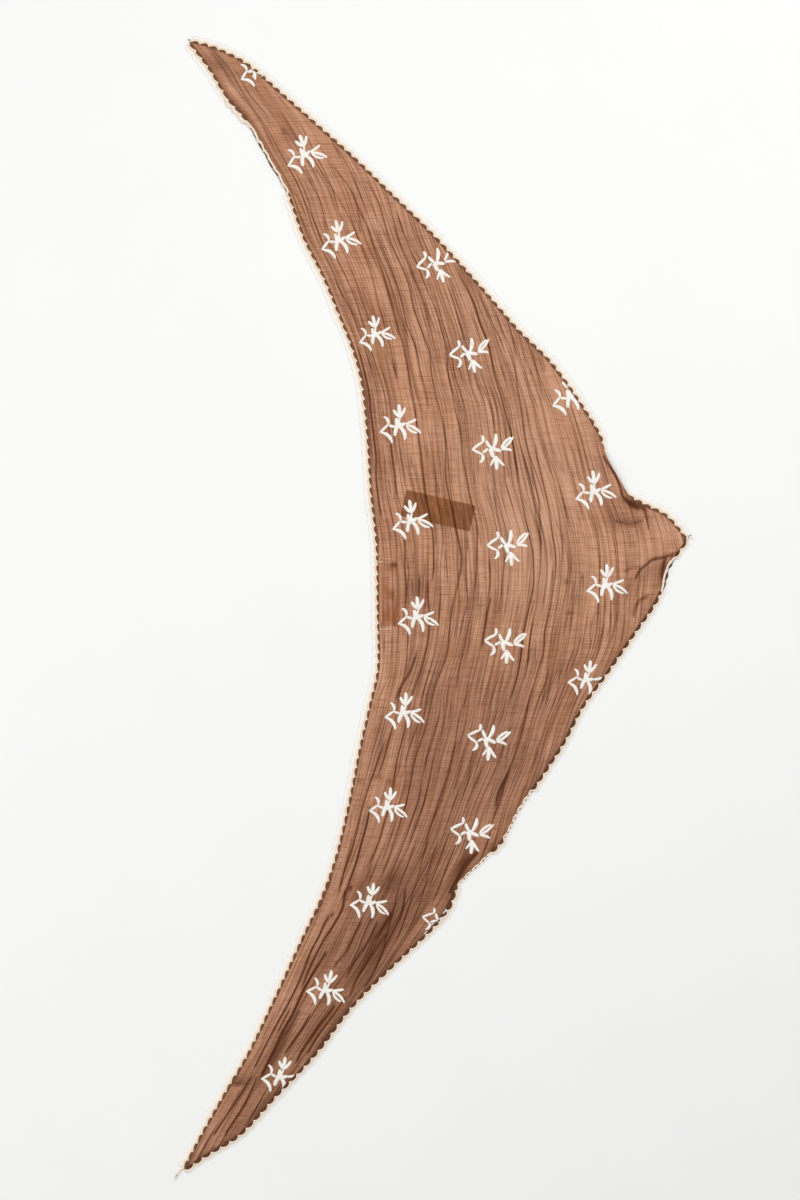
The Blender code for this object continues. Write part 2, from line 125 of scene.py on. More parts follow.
# The long edge, from the upper tip to the lower tip.
LONG_EDGE = [EdgeRow(*row) for row in (
    (-214, 498), (-197, 476), (-182, 452), (-164, 431), (-147, 402), (-129, 370), (-113, 326),
    (-96, 292), (-83, 261), (-69, 225), (-62, 198), (-57, 150), (-54, 103), (-49, 55), (-48, 0),
    (-48, -55), (-54, -82), (-63, -121), (-73, -171), (-85, -220), (-98, -256), (-115, -292),
    (-137, -340), (-162, -392), (-182, -426), (-204, -465), (-219, -493),
)]

# The upper leg, from the upper tip to the corner.
UPPER_LEG = [EdgeRow(*row) for row in (
    (-214, 498), (-195, 493), (-166, 479), (-133, 451), (-99, 421), (-72, 397), (-42, 368), (-11, 338),
    (12, 314), (40, 283), (74, 244), (103, 215), (131, 176), (145, 153), (152, 134), (164, 113),
    (173, 98), (187, 90), (204, 81), (216, 68), (222, 60),
)]

# The lower leg, from the lower tip to the corner.
LOWER_LEG = [EdgeRow(*row) for row in (
    (-219, -493), (-198, -479), (-172, -463), (-140, -429), (-116, -404), (-101, -387), (-72, -349),
    (-36, -313), (-2, -281), (13, -263), (21, -243), (42, -222), (62, -201), (75, -176), (94, -148),
    (114, -117), (131, -85), (152, -56), (179, -17), (191, 0), (199, 15), (204, 35), (213, 48),
    (222, 60),
)]

# How far pleats lie from the long edge at each height of the layout.
PLEAT_ROWS = [PleatRow(*row) for row in (
    (520, 21, 63, 86, 123, 141, 185, 246), (415, 21, 62, 84, 123, 141, 185, 246),
    (348, 19, 56, 81, 121, 137, 180, 242), (296, 17, 52, 76, 120, 133, 176, 238),
    (241, 14, 46, 69, 118, 130, 174, 233), (206, 13, 42, 64, 117, 130, 175, 234),
    (174, 14, 45, 67, 123, 134, 182, 239), (148, 16, 44, 67, 125, 137, 187, 245),
    (104, 19, 47, 67, 129, 148, 195, 260), (69, 23, 50, 68, 136, 153, 202, 269),
    (38, 24, 48, 68, 137, 156, 204, 270), (7, 24, 46, 69, 134, 152, 204, 264),
    (-28, 23, 41, 64, 127, 145, 201, 255), (-63, 21, 33, 57, 123, 141, 188, 242),
    (-98, 21, 31, 61, 123, 138, 180, 231), (-136, 18, 30, 59, 118, 136, 176, 224),
    (-170, 14, 29, 59, 110, 129, 170, 216), (-205, 13, 27, 55, 105, 128, 165, 211),
    (-239, 11, 26, 49, 99, 123, 160, 207), (-277, 12, 24, 47, 92, 119, 154, 202),
    (-309, 11, 23, 49, 86, 113, 148, 198), (-345, 11, 21, 40, 79, 106, 141, 194),
    (-387, 10, 19, 33, 70, 99, 132, 185), (-441, 9, 18, 32, 63, 92, 123, 176),
    (-510, 9, 18, 32, 62, 88, 119, 172),
)]

# The stretch with the hem turned under, in shares of the upper leg's length.
TURNED_UNDER = (0.828, 0.889)

# Stretches of the edges from one height of the layout to another: where the hem has rolled over,
# where its scallops are tucked in, where the seam label's threads show, where the edging lies as a
# ribbon, and where the hem reaches deeper into the cloth.
ROLLED = {"long": [(364, 430)], "lower": [(14, 47)]}
TUCKED = {"lower": [(-204, -158), (-246, -213)]}
SEAM_SPAN = [(36, 50), (-24, -10)]
RIBBON = [(364, 452)]
DEEP_HEM = [(-270, -236), (53, 67)]

# Where the fine crinkle is almost smooth, by pleat and height.
PLAIN_BAND = Region(0, 52, -420, -245)

# The crinkle's main creases. A path's points are (pleat, y): a pleat is named by its distance
# from the long edge at mid-length.
CREASES = [Crease(*row) for row in (
    (1.3, 1.3, [(6, 240), (5.5, 215), (6.5, 190), (7, 160), (6.5, 120), (6, 70)]),
    (0.9, 0.9, [(10.5, -14), (10.3, -40), (10, -60), (7.5, -72), (3, -88)]),
    (0.7, 0.9, [(12, 492), (12, 465), (11, 450)]),
    (0.9, 0.9, [(19, 488), (18, 462), (17, 450), (12, 432), (10, 415), (9, 398)]),
    (0.8, 0.9, [(24, 482), (24, 460), (22, 440), (20, 422)]),
    (0.7, 0.8, [(28, 478), (29, 462), (27, 440), (26, 425)]),
    (0.8, 0.9, [(34, 470), (33, 450), (31, 430), (30, 415)]),
    (0.7, 0.9, [(38, 455), (36, 435), (36, 420)]),
    (0.9, 1.0, [(4, 375), (9, 352), (11, 340)]),
    (0.9, 1.0, [(10, 366), (15, 350), (17, 330), (16, 312)]),
    (0.8, 0.9, [(2, 352), (6, 330), (5, 305)]),
    (0.9, 1.0, [(12, 300), (12, 280), (16, 262), (15, 250)]),
    (0.8, 0.9, [(25, 400), (26, 370), (28, 350), (29, 338)]),
    (1.0, 0.9, [(24, 338), (25, 300), (26, 270), (25, 230), (26, 205), (27, 175), (26, 150), (27, 120),
        (25, 92)]),
    (0.8, 0.8, [(30, 310), (30, 250), (29, 215), (30, 190), (29, 150), (28, 118)]),
    (0.6, 0.8, [(34, 300), (33, 268), (34, 240)]),
    (0.9, 0.9, [(34, 395), (36, 370), (40, 350), (42, 335), (42, 305), (40, 280), (39, 250), (38, 212),
        (38, 195)]),
    (1.5, 1.0, [(41, 395), (46, 370), (48, 350), (51, 332), (49, 300), (47.5, 270), (48, 225),
        (47, 200), (46, 172), (48, 150), (48, 110), (47, 60), (48, 30), (46, 18)]),
    (1.0, 0.9, [(50, 385), (52, 365), (54, 340), (55, 310), (54, 280), (53, 250), (53, 232)]),
    (1.0, 0.9, [(57, 340), (56, 310), (56, 280), (55, 250), (57, 225), (58, 190), (55, 170), (57, 140),
        (57, 70), (54, 30), (55, 0), (56, -25), (57, -60), (57, -100), (56, -130), (58, -150),
        (57, -190), (56, -230), (57, -250)]),
    (0.8, 0.9, [(55, 385), (57, 360), (60, 340), (62, 320), (60, 292), (61, 275)]),
    (1.3, 1.0, [(58, 382), (63, 360), (64, 340), (64, 310), (65, 285), (64, 260), (65, 240), (67, 225),
        (66, 200), (65, 182), (68, 150), (67, 120), (68, 100), (70, 70), (73, 48), (72, 36), (69, 25),
        (66, 12), (64, 0), (65, -20), (66, -45), (63, -78), (62, -112), (61, -150), (62, -200),
        (64, -240)]),
    (0.6, 1.2, [(73, 342), (71, 310), (75, 270), (76, 240)]),
    (0.8, 1.2, [(80, 352), (82, 335), (82, 322)]),
    (1.1, 1.0, [(82, 322), (84, 292), (86, 275), (88, 258), (87, 240), (86, 215), (84, 200), (82, 180),
        (84, 160), (86, 130), (88, 108), (89, 70), (87, 50), (86, 30), (83, 10), (81, -20), (80, -40),
        (82, -60), (85, -76)]),
    (1.0, 0.9, [(92, 238), (93, 215), (91, 200), (90, 186)]),
    (0.6, 0.9, [(104, 268), (105, 234)]),
    (1.1, 1.0, [(112, 292), (115, 270), (113, 252), (111, 232), (109, 205), (107, 192)]),
    (0.8, 0.9, [(107, 195), (109, 180), (110, 158)]),
    (0.8, 0.9, [(117, 205), (119, 190), (121, 170), (120, 150), (120, 100), (118, 78)]),
    (0.9, 0.9, [(127, 202), (127, 170), (126, 115), (126, 82)]),
    (0.7, 0.9, [(103, 110), (106, 92), (108, 78)]),
    (0.8, 0.9, [(113, 112), (110, 82), (111, 50), (109, 30), (109, 0)]),
    (1.5, 1.0, [(137, 302), (138, 285), (140, 268), (139, 250), (140, 240), (138, 215), (136, 195),
        (135, 175), (138, 155), (139, 130), (138, 100), (135, 80), (135, 60), (136, 50), (137, 20),
        (136, 0), (135, -30), (136, -60), (134, -88)]),
    (0.9, 0.9, [(152, 282), (153, 262), (154, 250)]),
    (1.0, 0.9, [(157, 276), (156, 250), (158, 235), (157, 222)]),
    (1.2, 0.9, [(165, 270), (163, 245), (165, 230), (164, 215), (161, 200), (159, 180), (158, 160),
        (156, 140), (154, 120), (152, 100), (150, 85), (145, 65), (143, 45)]),
    (0.9, 0.9, [(173, 260), (170, 235), (166, 214)]),
    (0.8, 0.9, [(179, 250), (176, 225), (172, 205), (171, 188)]),
    (0.8, 0.9, [(186, 236), (184, 215), (182, 200), (181, 178)]),
    (0.7, 0.9, [(190, 226), (189, 204)]),
    (1.0, 0.9, [(150, 142), (149, 120), (148, 100), (145, 80), (144, 60), (142, 40), (142, 0),
        (143, -40), (143, -72)]),
    (1.3, 1.0, [(165, 152), (162, 130), (160, 110), (159, 90), (157, 70), (156, 50), (156, 0),
        (155, -20), (156, -40), (154, -60), (154, -80), (156, -100), (156, -130), (154, -150),
        (158, -165), (157, -192)]),
    (1.0, 0.9, [(170, 112), (168, 90), (166, 75), (163, 55), (161, 35), (161, 0), (161, -30),
        (161, -50), (166, -75), (170, -92)]),
    (0.7, 0.9, [(174, 112), (174, 90), (170, 60), (168, 20)]),
    (0.6, 0.9, [(184, 92), (182, 70), (182, 55)]),
    (0.7, 0.9, [(190, 132), (188, 100), (187, 78)]),
    (1.1, 0.9, [(25, 92), (24, 60), (23, 30), (24, 15), (22, -10), (21, -32)]),
    (0.5, 0.8, [(33, 150), (33, 100)]),
    (0.5, 0.8, [(37, 142), (38, 108)]),
    (0.9, 0.9, [(35, 32), (36, 18), (36, 2)]),
    (1.4, 1.0, [(44, 30), (45, 10), (49, -15), (50, -40), (50, -100), (51, -150), (52, -200),
        (50, -232)]),
    (0.8, 0.8, [(62, 52), (63, 30), (62, 10), (61, -20), (60, -45), (60, -100)]),
    (0.9, 0.9, [(79, 72), (78, 55), (77, 35), (76, 20), (77, 5), (74, -15), (74, -50), (72, -80),
        (74, -95), (77, -122)]),
    (1.1, 1.0, [(97, 52), (98, 40), (98, 20), (96, 5), (97, -8), (99, -22)]),
    (0.6, 0.8, [(117, 16), (115, 0), (116, -12)]),
    (0.9, 0.9, [(92, -58), (93, -75), (89, -95), (92, -120), (94, -140), (95, -170), (94, -195),
        (97, -210), (101, -225), (107, -240), (112, -255), (120, -275), (128, -297)]),
    (0.7, 0.9, [(80, -80), (78, -102)]),
    (0.7, 0.9, [(97, -95), (98, -115), (101, -150)]),
    (0.7, 0.9, [(105, -60), (106, -80), (104, -96)]),
    (0.7, 0.9, [(111, -70), (108, -92)]),
    (0.9, 0.9, [(120, -50), (118, -70), (116, -92)]),
    (0.9, 0.9, [(128, -55), (127, -75), (124, -100), (122, -130), (123, -145), (127, -162)]),
    (1.0, 1.0, [(69, -85), (68, -110), (68, -150), (68, -200), (70, -225), (73, -252)]),
    (0.9, 0.9, [(106, -130), (106, -150), (107, -172)]),
    (0.8, 0.9, [(113, -130), (118, -150), (119, -172)]),
    (0.8, 0.9, [(127, -130), (128, -145), (127, -170), (128, -182)]),
    (1.0, 0.9, [(141, -110), (143, -130), (146, -155), (148, -165), (149, -182)]),
    (0.7, 0.9, [(146, -110), (148, -125), (152, -150)]),
    (0.8, 0.9, [(175, -115), (178, -130), (176, -152)]),
    (0.9, 0.9, [(180, -30), (178, -50), (182, -65), (184, -92)]),
    (0.9, 0.9, [(170, -40), (174, -60), (178, -75), (180, -96)]),
    (0.8, 0.9, [(167, -45), (168, -65), (172, -85), (174, -97)]),
    (0.9, 0.9, [(186, 2), (185, -30), (188, -46)]),
    (0.9, 0.9, [(193, 2), (190, -15), (192, -42)]),
    (0.8, 0.9, [(200, -8), (198, -30), (199, -46)]),
    (0.8, 0.9, [(205, 2), (203, -20), (201, -36)]),
    (0.9, 0.9, [(212, 6), (209, -15), (206, -36)]),
    (0.7, 0.9, [(222, 32), (220, 10)]),
    (0.7, 0.9, [(230, 26), (228, 6)]),
    (1.1, 1.6, [(24, -110), (22, -140), (20, -170), (20, -200), (22, -230), (25, -256)]),
    (0.9, 1.0, [(30, -100), (30, -130), (29, -152)]),
    (1.3, 1.5, [(31, -168), (32, -200), (34, -220), (35, -245), (40, -262)]),
    (1.0, 0.9, [(82, -198), (84, -220), (87, -235), (91, -250), (97, -265), (103, -280), (110, -295),
        (118, -306)]),
    (0.9, 0.9, [(107, -195), (110, -215), (117, -235), (124, -255), (131, -275), (137, -291)]),
    (0.8, 0.9, [(117, -195), (121, -220), (125, -240), (131, -257)]),
    (0.9, 0.9, [(131, -205), (134, -225), (138, -245), (139, -266)]),
    (0.8, 0.9, [(146, -198), (144, -215), (142, -236)]),
)]

# Creases that cross the pleats, and those of the lower tip, by points of the layout.
CROSS_CREASES = [Crease(*row) for row in (
    (1.1, 0.9, [(-72, -245), (-78, -250), (-80, -264), (-89, -280), (-96, -291), (-106, -310),
        (-115, -331)]),
    (0.9, 0.9, [(-88, -268), (-94, -274), (-101, -289), (-108, -302), (-116, -323), (-128, -348),
        (-142, -373), (-159, -407)]),
    (1.3, 1.1, [(-94, -302), (-101, -313), (-113, -333), (-124, -357), (-132, -371), (-138, -384),
        (-151, -411)]),
    (1.0, 1.0, [(-64, -276), (-71, -290), (-77, -302), (-88, -315)]),
    (1.0, 0.9, [(-50, -277), (-57, -292), (-69, -310), (-76, -323)]),
    (1.2, 1.4, [(-36, -267), (-44, -280), (-50, -289)]),
    (0.9, 0.9, [(-42, -287), (-51, -300), (-61, -315), (-69, -329), (-74, -342)]),
    (0.9, 1.0, [(-25, -250), (-28, -268), (-36, -285), (-44, -300), (-53, -321), (-61, -333)]),
    (1.1, 1.1, [(-88, -351), (-94, -359), (-99, -365), (-107, -377), (-116, -390), (-120, -398)]),
    (0.9, 0.9, [(-77, -342), (-84, -352), (-92, -363), (-103, -378), (-111, -392)]),
    (0.8, 0.9, [(-108, -356), (-118, -373), (-126, -384), (-131, -392)]),
    (0.7, 0.8, [(-118, -354), (-126, -369), (-132, -378)]),
    (0.7, 0.8, [(-126, -352), (-132, -363), (-137, -373)]),
    (0.8, 0.8, [(-160, -411), (-170, -428), (-178, -440), (-192, -461)]),
    (0.8, 0.8, [(-155, -411), (-162, -428), (-168, -440), (-184, -463)]),
    (1.0, 1.1, [(-15, -40), (-21, -56), (-29.5, -70), (-33, -80)]),
    (0.6, 0.9, [(-22.5, 27), (-24, 11)]),
    (0.6, 0.9, [(-19, 25), (-18, 12)]),
    (0.5, 0.8, [(-12, 27), (-13, 11)]),
    (0.9, 1.2, [(50, 9), (46, -10), (43, -31)]),
    (1.2, 1.1, [(217, 49.7), (203, 45.3), (192, 42.7), (188.8, 40), (181.7, 33.9), (178, 27)]),
    (0.5, 1.4, [(183, 36), (176, 36), (168, 33)]),
    (0.7, 1.6, [(188, 11), (181, 6.8), (178, 2), (176, -6)]),
    (1.2, 1.0, [(149, 134), (158, 120), (164, 108), (167.6, 97), (176, 92.5), (187, 86.5)]),
    (1.0, 1.5, [(168, 96), (174, 91), (180, 88)]),
    (0.7, 0.9, [(185, 90), (187.5, 81), (189, 70)]),
    (0.6, 1.2, [(160, 77), (172, 74), (184, 77.5)]),
    (0.8, 1.4, [(204, 45), (201.5, 32), (202, 18)]),
    (1.4, 1.7, [(38, -215), (29, -225), (21.4, -237), (15, -249)]),
    (1.0, 1.1, [(66, -145), (58, -160), (55, -172)]),
    (0.6, 1.2, [(-181, -416), (-168, -418), (-152, -420)]),
    (0.5, 0.8, [(106, 26), (124, 22), (143, 20)]),
    (0.5, 0.8, [(112, -2), (130, -6), (146, -4)]),
    (0.7, 0.8, [(-52, 40.5), (-42, 40), (-33, 39)]),
    (0.6, 0.7, [(-52, -16.5), (-44, -16.5), (-35, -17)]),
    (0.5, 1.2, [(-66, -152), (-48, -149), (-38, -152)]),
)]

# Where such creases and folds need closer rows of points.
FINE_REGIONS = [Region(143, 224, -12, 128), Region(4, 44, -256, -208)]

# The larger folds: a ridge where height is above 0, a trough where it is below.
FOLDS = [Fold(*row) for row in (
    (150, 137, 170, 101, 6.0, 1.6), (160, 98, 188, 86, 7.0, -0.7), (214, 53, 166, 22, 7.0, 1.6),
    (166, 22, 137, -4, 7.0, 1.0), (205, 36, 196, 10, 6.0, -0.6), (142, -18, 107, -47, 7.0, 0.9),
    (52, -196, 16, -240, 7.0, 1.2), (30, -212, -2, -262, 6.0, -0.7), (-188, -411, -152, -418, 6.0, 1.0),
    (-120, 409, -95, 372, 8.0, 0.8),
)]

# Soft darker places, where the cloth lies double or a fold's shade is painted, broad darker
# areas, and lighter places where dark is below 0. A turn is in degrees, anticlockwise from above.
SHADES = [Shade(*row) for row in (
    (32, -177, 400, 95, 56.5, 0.44), (-45, -285, 120, 60, 58, 0.38), (-98, -350, 170, 60, 54, 0.27),
    (-8, -130, 130, 40, 74, 0.3), (115, 195, 130, 60, -50, -0.16), (-108, -230, 190, 46, 67, -0.3),
    (-127, -330, 150, 20, 63, -0.3), (-139, -392, 56, 11, 62, 0.85), (-112, -313, 30, 13, 55, 0.5),
    (-54, -296, 74, 30, 58, 0.2), (-98, -364, 60, 16, 52, 0.15), (84, 74, 240, 110, 95, -0.66),
    (28, 262, 110, 46, 108, -0.32), (-26, 322, 60, 34, -48, 0.25), (-150, 440, 200, 90, -52, 0.14),
    (76, -50, 90, 30, 80, 0.2), (-54, 165, 120, 9, 95, 0.3), (176, 92, 26, 10, -28, 1.15),
    (165, 77, 40, 12, -4, 0.55), (201, 32, 34, 8, 80, 0.95), (184, 30, 40, 14, 38, 0.4),
    (162, 10, 34, 14, 42, 0.25), (206, 70, 34, 24, -30, -0.5), (155, 128, 24, 8, -62, 0.45),
    (28, -222, 40, 9, 50, 0.8), (60, -158, 30, 8, 65, 0.5), (-14, 17, 30, 20, 90, 0.5),
    (-45, -55, 60, 9, 95, -0.55), (-12, -62, 34, 12, 85, 0.45), (-35, -238, 30, 16, 60, 0.5),
    (-172, -412, 30, 8, -8, 0.5), (-190, 478, 34, 14, -40, 0.6), (-160, -445, 60, 12, 45, 0.35),
    (24, -88, 250, 120, 76, 0.17), (113, -22, 60, 40, 80, 0.25), (-162, -420, 80, 40, 52, 0.32),
    (160, 2, 80, 44, 80, -0.28), (36, -52, 70, 34, 85, 0.2), (129, -54, 60, 34, 60, 0.22),
    (-50, -113, 90, 26, 72, 0.3), (36, -176, 80, 40, 70, -0.2), (-57, -237, 80, 26, 68, 0.3),
    (-92, -302, 90, 22, 60, 0.3),
)]

# Loose ends of thread, by points of the layout: cream at the lower tip, both ends of the seam
# label and the corner, and brown at all three tips.
CREAM_ENDS = [
    Loose(0.75, [(-219, -492), (-223, -494), (-225, -499), (-228, -502)]),
    Loose(0.35, [(-51, 43), (-48, 40.8), (-45, 41.5)]),
    Loose(0.22, [(-48, -17.6), (-43, -18.1), (-37, -17.5)]),
    Loose(0.3, [(222, 60), (226, 62), (229, 61)]),
]
BROWN_ENDS = [
    Loose(0.3, [(-216, 501), (-214, 499.5), (-211, 496)]),
    Loose(0.25, [(223, 61), (225, 64), (227, 64.5)]),
    Loose(0.5, [(-223.5, -496), (-225.5, -498.5), (-227, -500.5)]),
]

# White stitches out over the hem, from the two sprigs that the upper and the lower leg cut.
STRAY_STITCHES = [Petal(*row) for row in (
    (8.4, -268.8, 11.9, -265.3, -0.6, 1.1), (8.4, -272.4, 12.8, -269.7, -0.5, 1.1),
    (10.1, -264.4, 12.4, -267.1, 0.5, 1.0), (4.8, -273.2, 8.4, -271.5, 0.0, 1.2),
    (-0.4, -275.9, 4.0, -274.1, 0.0, 1.2), (4.0, -276.8, 8.4, -274.1, -0.4, 1.0),
    (-3.1, -278.5, 0.4, -276.8, 0.0, 1.0), (-8.4, -286.4, -5.7, -283.8, 0.0, 0.9),
    (-162.6, 472.8, -157.1, 476.1, 0.5, 1.0), (-157.1, 469.5, -152.7, 472.8, 0.0, 1.0),
    (-154.9, 471.7, -148.3, 468.4, 0.5, 0.9), (-151.6, 467.8, -147.2, 470.6, 0.0, 1.0),
    (-160.4, 467.3, -156.0, 470.6, 0.0, 1.0),
)]

# The blank labels that lie under the cloth.
LABELS = [
    Label("label_back", 4, 86, 63, 24, -13),
    Label("label_seam", -38.5, 12, 56, 14, 90),
]

# The embroidered sprigs, as satin-stitched petals round a sprig's middle, and where they lie.
SPRIG_UP = [Petal(*row) for row in (
    (-14.0, 6.2, -10.0, -1.3, 1.6, 2.9), (-10.2, -1.1, -17.8, -8.1, 0.0, 2.5),
    (-16.6, -7.7, -7.1, -17.4, 2.2, 3.4), (-10.0, -1.8, -4.6, -3.2, 0.0, 2.6),
    (-5.8, 11.8, -0.3, 5.2, -0.4, 3.1), (-0.9, 16.4, -0.5, 6.4, 0.3, 3.6),
    (5.1, 14.0, 0.3, 5.0, 0.4, 2.8), (0.3, 5.2, -1.4, -1.0, 0.0, 2.2),
    (-3.1, 4.6, -2.7, -2.6, 0.0, 3.3), (-2.0, -1.2, -4.9, -11.2, -0.5, 3.7),
    (-1.0, -2.4, 4.2, -14.9, 2.0, 3.7), (-2.4, -3.6, 4.6, 0.2, 0.3, 3.4),
    (4.6, -0.8, 14.3, 2.9, 0.3, 2.7), (5.2, -1.4, 18.0, -9.2, 1.3, 2.7),
    (5.2, -2.0, 14.8, -9.0, -1.5, 2.5), (-4.6, -1.6, 1.8, -3.6, 0.0, 3.6),
    (-3.4, -4.6, 0.6, 0.6, 0.0, 3.4),
)]
SPRIG_DOWN = [Petal(*row) for row in (
    (-9.2, 13.2, -8.8, 7.2, 0.6, 3.0), (-8.6, 7.7, -18.4, 1.3, -0.2, 2.7),
    (-18.2, 1.1, -10.0, -3.2, -0.1, 2.5), (-10.2, -2.6, -12.2, -11.0, 2.0, 3.3),
    (-9.0, -2.2, -4.6, 1.3, 0.0, 2.6), (-1.9, 1.6, -6.1, 8.2, -0.3, 3.1),
    (0.6, 2.4, 3.2, 14.0, 0.9, 3.7), (-2.1, 2.0, -0.4, -6.3, -0.2, 4.0),
    (-1.6, 1.0, 6.8, -1.2, 0.2, 3.5), (7.3, 0.9, 16.4, 10.6, -1.2, 2.7),
    (8.1, 0.4, 18.2, 10.9, 0.9, 2.5), (-4.0, -1.0, 1.6, 2.6, 0.0, 3.6),
    (7.6, 0.1, 16.8, -1.2, 0.7, 2.7), (1.4, -5.2, -2.9, -13.9, 0.4, 2.3),
    (2.3, -6.4, 2.4, -17.6, 0.0, 3.7), (1.8, -5.6, 9.1, -14.3, -0.4, 2.7),
)]
UP_PLACES = [
    (-155.5, 476.5, 0.93), (-113, 401, 1.0), (-82.5, 326, 0.98), (-50.5, 243, 0.9), (-29.5, 163, 1.0),
    (-19, 79, 1.0), (-13.6, -5.7, 1.0), (-25, -90, 0.98), (-39, -173, 0.95), (-55, -257, 0.98),
    (-93, -334, 0.97), (-133, -410, 0.97), (121, 188.5, 1.0), (142, 105, 1.0), (152.7, 22.4, 1.0),
    (136, -61, 0.95),
]
DOWN_PLACES = [
    (3, 303, 0.98), (32, 224, 0.98), (52.4, 139.5, 1.0), (65.6, 55, 1.0), (63, -31, 1.0),
    (48, -116, 1.0), (33, -198, 1.0), (5.3, -276, 0.85),
]
SPRIGS = [Sprig(*place, SPRIG_UP) for place in UP_PLACES]
SPRIGS += [Sprig(*place, SPRIG_DOWN) for place in DOWN_PLACES]


def between(start, end, low, high, t):
    """The value at t on the straight line from start at low to end at high."""
    return (start * (high - t) + end * (t - low)) / (high - low)


def smooth_curve(rows, steps=12):
    """Points along a centripetal Catmull-Rom curve through pairs of numbers."""
    given = np.array([tuple(row) for row in rows], float)
    ends = (2 * given[0] - given[1], 2 * given[-1] - given[-2])
    knots = np.vstack([ends[0], given, ends[1]])
    curve = []
    for p0, p1, p2, p3 in zip(knots, knots[1:], knots[2:], knots[3:]):
        t1 = math.sqrt(np.linalg.norm(p1 - p0))
        t2 = t1 + math.sqrt(np.linalg.norm(p2 - p1))
        t3 = t2 + math.sqrt(np.linalg.norm(p3 - p2))
        for t in np.linspace(t1, t2, steps, endpoint=False):
            a1, a2 = between(p0, p1, 0, t1, t), between(p1, p2, t1, t2, t)
            a3 = between(p2, p3, t2, t3, t)
            b1, b2 = between(a1, a2, 0, t2, t), between(a2, a3, t1, t3, t)
            curve.append(between(b1, b2, t1, t2, t))
    curve.append(given[-1])
    return np.array(curve)


def lengths_along(points):
    """How far along their path points lie, from 0."""
    return np.concatenate([[0.0], np.cumsum(np.linalg.norm(np.diff(points, axis=0), axis=1))])


class Edge:
    """One edge of the cloth as a curve that is read by its length."""

    def __init__(self, rows):
        self.points = smooth_curve(rows)
        self.along = lengths_along(self.points)
        self.length = self.along[-1]

    def at(self, share):
        place = np.clip(share, 0, 1) * self.length
        return np.array([np.interp(place, self.along, self.points[:, k]) for k in (0, 1)])

    def tangent(self, share, reach=3.0):
        step = reach / self.length
        ahead = self.at(min(1, share + step)) - self.at(max(0, share - step))
        return ahead / np.linalg.norm(ahead)


long_edge = Edge(LONG_EDGE)
upper_leg = Edge(UPPER_LEG)
lower_leg = Edge(LOWER_LEG)
FALLING = slice(None, None, -1)
CORNER = upper_leg.at(1)

# Each edge's border. A side of 1 has the cloth to the left, a lean under 1 brings each scallop's
# top forward, and lace is how far the lace's rim stands out from the hem's notches.
BORDERS = {
    "long": Border(long_edge, 1, 8.6, 2.0, 0.65, 6.4),
    "upper": Border(upper_leg, -1, 8.4, 2.2, 1.5, 6.2),
    "lower": Border(lower_leg, 1, 9.3, 2.4, 1.0, 5.2),
}

# The layout's place in the row frame, from the label that both of them hold.
low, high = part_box("label_back")
MIDPOINT = np.array([(low.x + high.x) / 2, (low.y + high.y) / 2])
SHIFT = np.array([LABELS[0].x, LABELS[0].y]) - MIDPOINT / MM


def edge_x(y):
    return np.interp(y, long_edge.points[FALLING, 1], long_edge.points[FALLING, 0])


def leg_x(y):
    upper = np.interp(y, upper_leg.points[FALLING, 1], upper_leg.points[FALLING, 0])
    lower = np.interp(y, lower_leg.points[:, 1], lower_leg.points[:, 0])
    return np.where(np.asarray(y) > CORNER[1], upper, lower)


HEIGHTS = np.linspace(long_edge.points[-1, 1], long_edge.points[0, 1], LEVELS)


def pleat_columns():
    """Each listed pleat's distance to the long edge at every height, the edge itself first."""
    columns = [np.zeros_like(HEIGHTS)]
    for name in PleatRow._fields[1:]:
        curve = smooth_curve([(getattr(row, name), row.y) for row in PLEAT_ROWS])
        columns.append(np.interp(HEIGHTS, curve[FALLING, 1], curve[FALLING, 0]))
    return np.array(columns)


COLUMNS = pleat_columns()
MIDDLES = np.array([float(np.interp(MIDDLE, HEIGHTS, column)) for column in COLUMNS])
WIDTHS = leg_x(HEIGHTS) - edge_x(HEIGHTS)


def soft_step(value):
    held = np.clip(value, 0, 1)
    return held * held * (3 - 2 * held)


def columns_at(y):
    return np.array([np.interp(y, HEIGHTS, column) for column in COLUMNS])


def pleat_distance(pleat, y):
    """How far pleats are from the long edge at heights y. Both may be arrays of one length."""
    columns = columns_at(y)
    place = np.interp(pleat, MIDDLES, np.arange(len(MIDDLES)))
    low = np.minimum(place.astype(int), len(MIDDLES) - 2)
    k = np.arange(len(np.atleast_1d(y)))
    return columns[low, k] + (columns[low + 1, k] - columns[low, k]) * (place - low)


def pleat_at(distance, y):
    """The pleat at each distance from the long edge, which is pleat_distance the other way."""
    columns = columns_at(y)
    pleat = np.zeros_like(distance)
    for k in range(len(MIDDLES) - 1):
        share = (distance - columns[k]) / (columns[k + 1] - columns[k])
        past = share >= 0 if k else np.ones_like(share, bool)
        pleat = np.where(past, MIDDLES[k] + (MIDDLES[k + 1] - MIDDLES[k]) * share, pleat)
    return pleat


def swung(pleat, y):
    """The grid's own drift, so that its lines follow the pleats drawn to the lower leg."""
    start, run, most, centre, spread = -200, 110, 32, 92, 34
    down = soft_step((start - y) / run)
    return pleat + most * down * np.exp(-(((pleat - centre) / spread) ** 2))


def wander(seed, place, spacing):
    """A smooth random number from -1 to 1 at each place, the same at every run."""
    values = np.random.default_rng(seed).uniform(-1, 1, WANDER_KNOTS)
    knots = np.asarray(place) / spacing + WANDER_KNOTS / 2
    low = np.floor(knots).astype(int) % (WANDER_KNOTS - 1)
    share = soft_step(knots - np.floor(knots))
    return values[low] * (1 - share) + values[low + 1] * share


